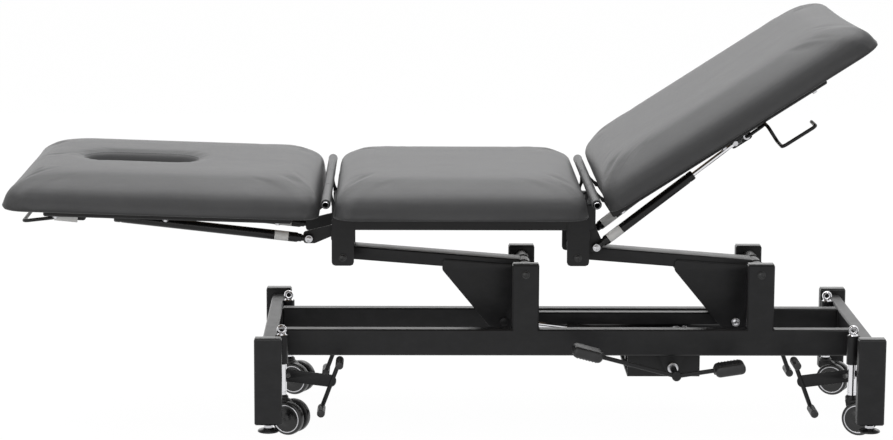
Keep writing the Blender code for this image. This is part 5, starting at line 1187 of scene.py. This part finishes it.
def vinyl_tube(x, z, low, high):
    """One length of the wrap, with a soft rolled fold at both ends."""
    length = high - low
    fold = in_mm((2.5, 7.0), (0.4, 8.2), (0, 9.2), (0.5, 10.2), (1.6, 10.75), (3.4, 10.7), (6.0, 10.45))
    count = max(2, int((length - 12 * MM) / (12 * MM)))
    middle = [(6 * MM + (length - 12 * MM) * step / count,
               (10.45 + 0.3 * noise.noise(Vector((low * 31, step * 0.9, z)))) * MM)
              for step in range(1, count)]
    other_fold = [(length - along, radius) for along, radius in reversed(fold)]
    return lathe((x, low, z), (0, 1, 0), fold + middle + other_fold + fold[:1])


def bridge(x, z, low, high):
    """The half of the wrap that runs on over the ears."""
    outer, inner = 10.7 * MM, 9.3 * MM
    turns = [math.radians(12 + 156 * step / 16) for step in range(17)]
    outline = [(x + outer * math.cos(turn), z + outer * math.sin(turn)) for turn in turns]
    outline += [(x + inner * math.cos(turn), z + inner * math.sin(turn)) for turn in reversed(turns)]
    return cut_plate(outline, low, high, (), 0.15 * MM)


def hinge(name):
    place = pivot(f"{name}_tilt")
    shapes = [vinyl_tube(place.x, place.z, low, high)
              for low, high in zip(SLEEVE_ENDS[::2], SLEEVE_ENDS[1::2])]
    shapes += [bridge(place.x, place.z, low - 0.4 * MM, high + 0.4 * MM)
               for low, high in (SLEEVE_ENDS[1:3], SLEEVE_ENDS[3:5])]
    make(f"hinge_wrap_{name}", "top", VINYL, "grey_vinyl", *shapes, nodes=[f"hinge_sleeve_{name}"])
    rim = ring_in_mm((0, 4.9), (0, 6.9), (10.4, 6.9), (11, 6.5), (11, 5.1), (10.6, 4.9))
    rims = [lathe((place.x, side * 0.3390, place.z), (0, side, 0), rim) for side in (-1, 1)]
    make(f"hinge_tube_ends_{name}", "top", STEEL, "black_steel", *rims)


for name in ("head", "back"):
    hinge(name)

# %% [markdown]
# ## Gas struts
# Each section hangs on two gas struts: a gloss black barrel, crimped at both ends, with a
# plain paper band, and a thin chrome rod whose head is freed by the bent wire handle.

# %% Struts
STRUT_Y = 0.098
STRUTS = {
    "head": {"sign": -1, "top": (0.554, -0.077), "body": 0.438, "rod": 0.180, "release": 0.028,
             "band": (0.046, 0.077)},
    "back": {"sign": 1, "top": (0.3278, -0.0901), "body": 0.272, "rod": 0.220, "release": 0.020,
             "band": (0.034, 0.070)},
}


def strut(name, side):
    """One gas strut in place: barrel, band, rod, release head and bolts."""
    data, y = STRUTS[name], SIDES[side] * STRUT_Y
    foot = pivot(f"{name}_strut_swing")
    foot = Vector((foot.x, y, foot.z))
    top = section_frame(name) @ Vector((data["sign"] * data["top"][0], y, data["top"][1]))
    along, length = (top - foot).normalized(), (top - foot).length
    barrels, rods, out = f"{name}_strut_barrels", f"{name}_strut_rods", SIDES[side]
    profile = in_mm((7, 0), (7, 6.6), (16, 7.2), (17, 8.8), (24, 9.2), (26, 10.6), (28, 11))
    profile += in_mm_from(data["body"], (-18, 11), (-16.5, 10.2), (-14.5, 10.2), (-13, 11), (-3, 11),
                          (-1, 10.2), (0, 8.6), (0, 5.3), (-6, 5.3), (-6, 0))
    eye = ring_in_mm((0, 4.5), (0, 9.2), (0.8, 10), (11.2, 10), (12, 9.2), (12, 4.5))
    make(f"{name}_strut_barrel_{side}", barrels, BARREL, "strut_black", lathe(foot, along, profile),
         lathe((foot.x, y - 6 * MM, foot.z), (0, 1, 0), eye), nodes=[f"{name}_strut_body_{side}"])
    (low, high), inner, outer = data["band"], 10.9 * MM, 11.12 * MM
    band = [(low, inner), (low, outer), (high, outer), (high, inner), (low, inner)]
    make(f"{name}_strut_band_{side}", barrels, PAPER, "strut_black", lathe(foot, along, band))
    head, tail = data["release"], length - data["rod"]
    rod_profile = in_mm_from(tail, (0, 0), (0, 4), (1, 5))
    rod_profile += in_mm_from(length, (-9, 5), (-4.8, 5), (-4.8, 0))
    stub_low, stub_high = sorted((out * 86.3 * MM, out * 98 * MM))
    make(f"{name}_strut_rod_{side}", rods, CHROME, "chrome", lathe(foot, along, rod_profile),
         across(top.x, top.z, stub_low, stub_high, 4 * MM), nodes=[f"{name}_strut_rod_{side}"])
    release = in_mm((-5, 0), (-5, 7.2), (-4, 8), (2.5, 8), (3.2, 7.0), (4.6, 7.0), (5.2, 8))
    release += in_mm_from(head, (-7, 8), (-5.5, 6.4), (-4.6, 3.4), (-1, 3.4), (0, 2.6), (0, 0))
    make(f"{name}_release_head_{side}", rods, BOLT, "chrome", lathe(top, along, release))
    make(f"{name}_strut_top_bolt_{side}", rods, ZINC, "chrome",
         hexagon((top.x, y + out * 7.6 * MM, top.z), (0, out, 0), 11 * MM, 4.5 * MM))
    make(f"{name}_strut_foot_bolt_{side}", "top", ZINC, "chrome",
         dome_bolt((foot.x, y + out * 6.2 * MM, foot.z), (0, out, 0), 8.5 * MM, 5.5 * MM),
         across(foot.x, foot.z, y - 6.3 * MM, y + 6.3 * MM, 3.9 * MM))


for name in STRUTS:
    for side in SIDES:
        strut(name, side)

# %% [markdown]
# ## Release handles
# Two bent wires. The head one is a plain loop with a bare tag. The back one has a grip that
# reaches out on the near side, so the person beside the table can find it.

# %% Release handles
WIRE, BEND = 4.0 * MM, 12 * MM
HANDLES = {"head": ((0.590, -0.086), (0.680, -0.099)), "back": ((0.3573, -0.0935), (0.407, -0.0905))}


def release_handle(name):
    sign, ((hub_x, hub_z), (end_x, end_z)) = STRUTS[name]["sign"], HANDLES[name]
    x, z = sign * (end_x - hub_x), end_z - hub_z
    half = [(0, 0.077, 0), (0, STRUT_Y, 0), (x, STRUT_Y, z)]
    shapes = [wire(half + [(px, -y, pz) for px, y, pz in reversed(half)], WIRE, BEND)]
    if name == "back":
        low = z - 37.5 * MM
        points = [(x, -STRUT_Y + 2 * BEND, z), (x, -0.153, z), (x, -0.153, low), (x, -0.240, low),
                  (x + 0.086, -0.240, low), (x + 0.086, -0.170, low)]
        shapes.append(wire(points, WIRE, BEND))
        shapes.append(weld_bead([(x, -0.088, z + 3.6 * MM), (x, -0.076, z + 3.6 * MM)], 1.4 * MM))
    place = section_frame(name) @ Matrix.Translation((sign * hub_x, 0, hub_z))
    body = f"{name}_release_handle"
    make(f"{name}_handle_wire", body, COAT, "black_steel", *shapes, nodes=[body], matrix=place)
    bush = ring_in_mm((0, 4.1), (0, 7.4), (0.5, 7.8), (2.6, 7.8), (3.1, 7.2), (3.1, 4.1))
    bushes = [lathe((0, out * 86.4 * MM, 0), (0, out, 0), bush) for out in (-1, 1)]
    make(f"{name}_handle_bushes", body, ZINC, "black_steel", *bushes, matrix=place)


for name in HANDLES:
    release_handle(name)
tag = box((-26 * MM, -9.2 * MM, -10 * MM), (26 * MM, -8.4 * MM, 6.5 * MM), 0.3 * MM, 2)
tag_place = Matrix.Translation((-0.584, -STRUT_Y, -0.0855)) @ Matrix.Rotation(0.06, 4, "Y")
make("bare_tag_on_handle", "head_release_handle", PAPER, "black_steel", tag,
     matrix=section_frame("head") @ tag_place)

# %% [markdown]
# ## Welds, caps and cushion bolts
# Small things that make a steel frame look made: beads in the corners, plastic plugs in the
# open tubes and the bolts under the sections.

# %% Welds and caps
POST_TOP, LEG_TOP = 366 * MM, 231 * MM
BEAD_LOW, BEAD_HIGH = 163 * MM, 219 * MM


def upright_bead(x, y, low=BEAD_LOW, high=BEAD_HIGH, radius=1.7 * MM):
    return weld_bead([(x, y, low), (x, y, high)], radius)


def corner_beads():
    """Beads where posts stand on rails, rails meet beams and tabs hang from the frame."""
    base_beads, top_beads = [], []
    for post in (POST, FOOT_POST):
        for edge in (-30.6 * MM, 30.6 * MM):
            for side in SIDES.values():
                x, y, z = post.x + edge, side * POST_Y, BEAM_TOP + 0.6 * MM
                base_beads.append(weld_bead([(x, y - 13 * MM, z), (x, y + 13 * MM, z)], 1.9 * MM))
    for end in ENDS.values():
        leg_x = BASE_X + end * LEG_OUT
        for side in SIDES.values():
            base_beads += [upright_bead(leg_x - end * 15.2 * MM, side * y)
                           for y in (104.6 * MM, 135.4 * MM)]
            base_beads += [upright_bead(leg_x + edge, side * 274.6 * MM)
                           for edge in (-15.4 * MM, 15.4 * MM)]
    for post in (POST, FOOT_POST):
        x, z = post.x - ARM_RUN, POST.z + ARM_RISE + 62.0 * MM
        for side in SIDES.values():
            top_beads += [upright_bead(x + edge, side * 101.0 * MM, z, z - 22 * MM, 1.5 * MM)
                          for edge in (-25 * MM, 25 * MM)]
    make("base_welds", "base", WELD, "black_steel", *base_beads)
    make("top_welds", "top", WELD, "black_steel", *top_beads)


def plugs():
    """Black plastic plugs in the tops of the posts and legs."""
    places = [(post.x, side * POST_Y, POST_TOP) for post in (POST, FOOT_POST) for side in SIDES.values()]
    places += [(BASE_X + end * LEG_OUT, side * LEG_Y, LEG_TOP)
               for end in ENDS.values() for side in SIDES.values()]
    low, high = Vector((28.4, 13.4, 0)) * MM, Vector((28.4, 13.4, 4.2)) * MM
    plug_tops = [box(Vector(place) - low, Vector(place) + high, 0.9 * MM) for place in places]
    make("tube_plugs", "base", PLASTIC, "black_plastic", *plug_tops)


def cushion_bolts(name, places):
    """Bright bolts that hold a board to its frame, with washers, seen from below."""
    sign, shapes = STRUTS[name]["sign"], []
    for x in places:
        for side in SIDES.values():
            spot = (sign * x, side * 130 * MM, -79.3 * MM)
            shapes.append(lathe(spot, (0, 0, -1),
                                in_mm((-1, 0), (-1, 8.5), (1.0, 8.5), (1.4, 8.0), (1.4, 0))))
            shapes.append(hexagon((spot[0], spot[1], spot[2] - 1.4 * MM), (0, 0, -1), 10 * MM, 4.2 * MM))
    make(f"{name}_cushion_bolts", f"{name}_section", ZINC, "chrome", *shapes, matrix=section_frame(name))


corner_beads()
plugs()
cushion_bolts("head", (0.110, 0.360, 0.605))
cushion_bolts("back", (0.034, 0.300, 0.536))


# %% [markdown]
# ## Studio
# A pale floor and soft light from above. The floor and the world show themselves to the
# camera, and in chrome, as near white, as in a product photograph. They light the table far
# less than that, so its colours stay as they are written.

# %% Floor, world and lamps
FLOOR_SIZE, FLOOR_GLOW, FLOOR_SHARE = 24.0, 1.065, 0.92
KEY_SIZE, KEY_HEIGHT, KEY_POWER = (4.5, 3.2), 3.4, 218.0
FILL_SIZE, FILL_POWER = (3.5, 2.0), 26.0
BACK_SIZE, BACK_POWER = (9.0, 3.0), 85.0
ROOM_LIGHT = 0.60
WHITE, FLOOR_GREY = (1, 1, 1, 1), (0.30, 0.30, 0.30)


def white_where_seen(finish, shader, glow, share, output):
    """Mixes white into what the camera sees of a shader, also in a mirror or through glass."""
    rays = [finish.node("ShaderNodeLightPath", output=f"Is {kind} Ray")
            for kind in ("Camera", "Glossy", "Transmission")]
    seen = rays[0].math("MAXIMUM", rays[0], rays[1])
    seen = seen.math("MAXIMUM", seen, rays[2])
    mixed = finish.node("ShaderNodeMixShader", {}, {0: seen * share, 1: shader, 2: glow})
    finish.feed(output, mixed)


pale = Finish("pale_floor", 0.9)
pale.paint(Base_Color=FLOOR_GREY, Specular_IOR_Level=0.1)
glow = pale.node("ShaderNodeEmission", {}, {"Color": WHITE, "Strength": FLOOR_GLOW})
white_where_seen(pale, Signal(pale, pale.shader.outputs[0]), glow, FLOOR_SHARE,
                 pale.tree.nodes["Material Output"].inputs["Surface"])
bpy.ops.mesh.primitive_plane_add(size=FLOOR_SIZE)
floor = bpy.context.object
floor.name = "studio_floor"
floor.data.materials.append(pale.material)


class Room(Finish):
    """The world, whose nodes come from the same method as a finish's."""

    def __init__(self, name):
        self.world = bpy.data.worlds.new(name)
        self.world.use_nodes = True
        self.tree = self.world.node_tree


room = Room("studio")
bpy.context.scene.world = room.world
soft = room.tree.nodes["Background"]
room.feed(soft.inputs["Color"], WHITE)
room.feed(soft.inputs["Strength"], ROOM_LIGHT)
white = room.node("ShaderNodeBackground", {}, {"Color": WHITE, "Strength": 1.0})
white_where_seen(room, Signal(room, soft.outputs[0]), white, 1.0,
                 room.tree.nodes["World Output"].inputs["Surface"])


def softbox(name, place, target, size, power):
    lamp = bpy.data.lights.new(name, "AREA")
    lamp.shape = "RECTANGLE"
    lamp.size, lamp.size_y, lamp.energy = *size, power
    holder = bpy.data.objects.new(name, lamp)
    bpy.context.scene.collection.objects.link(holder)
    holder.location = place
    holder.rotation_euler = (Vector(target) - Vector(place)).to_track_quat("-Z", "Y").to_euler()
    holder.visible_camera = False


softbox("key", (BASE_X - 0.5, 0.5, KEY_HEIGHT), (BASE_X - 0.2, 0.1, 0.5), KEY_SIZE, KEY_POWER)
softbox("fill", (-1.8, -3.2, 1.6), (0, 0, 0.5), FILL_SIZE, FILL_POWER)
softbox("backdrop", (BASE_X, 5.0, 1.3), (BASE_X, 0, 0.6), BACK_SIZE, BACK_POWER)

# %% Update the scene
bpy.context.view_layer.update()
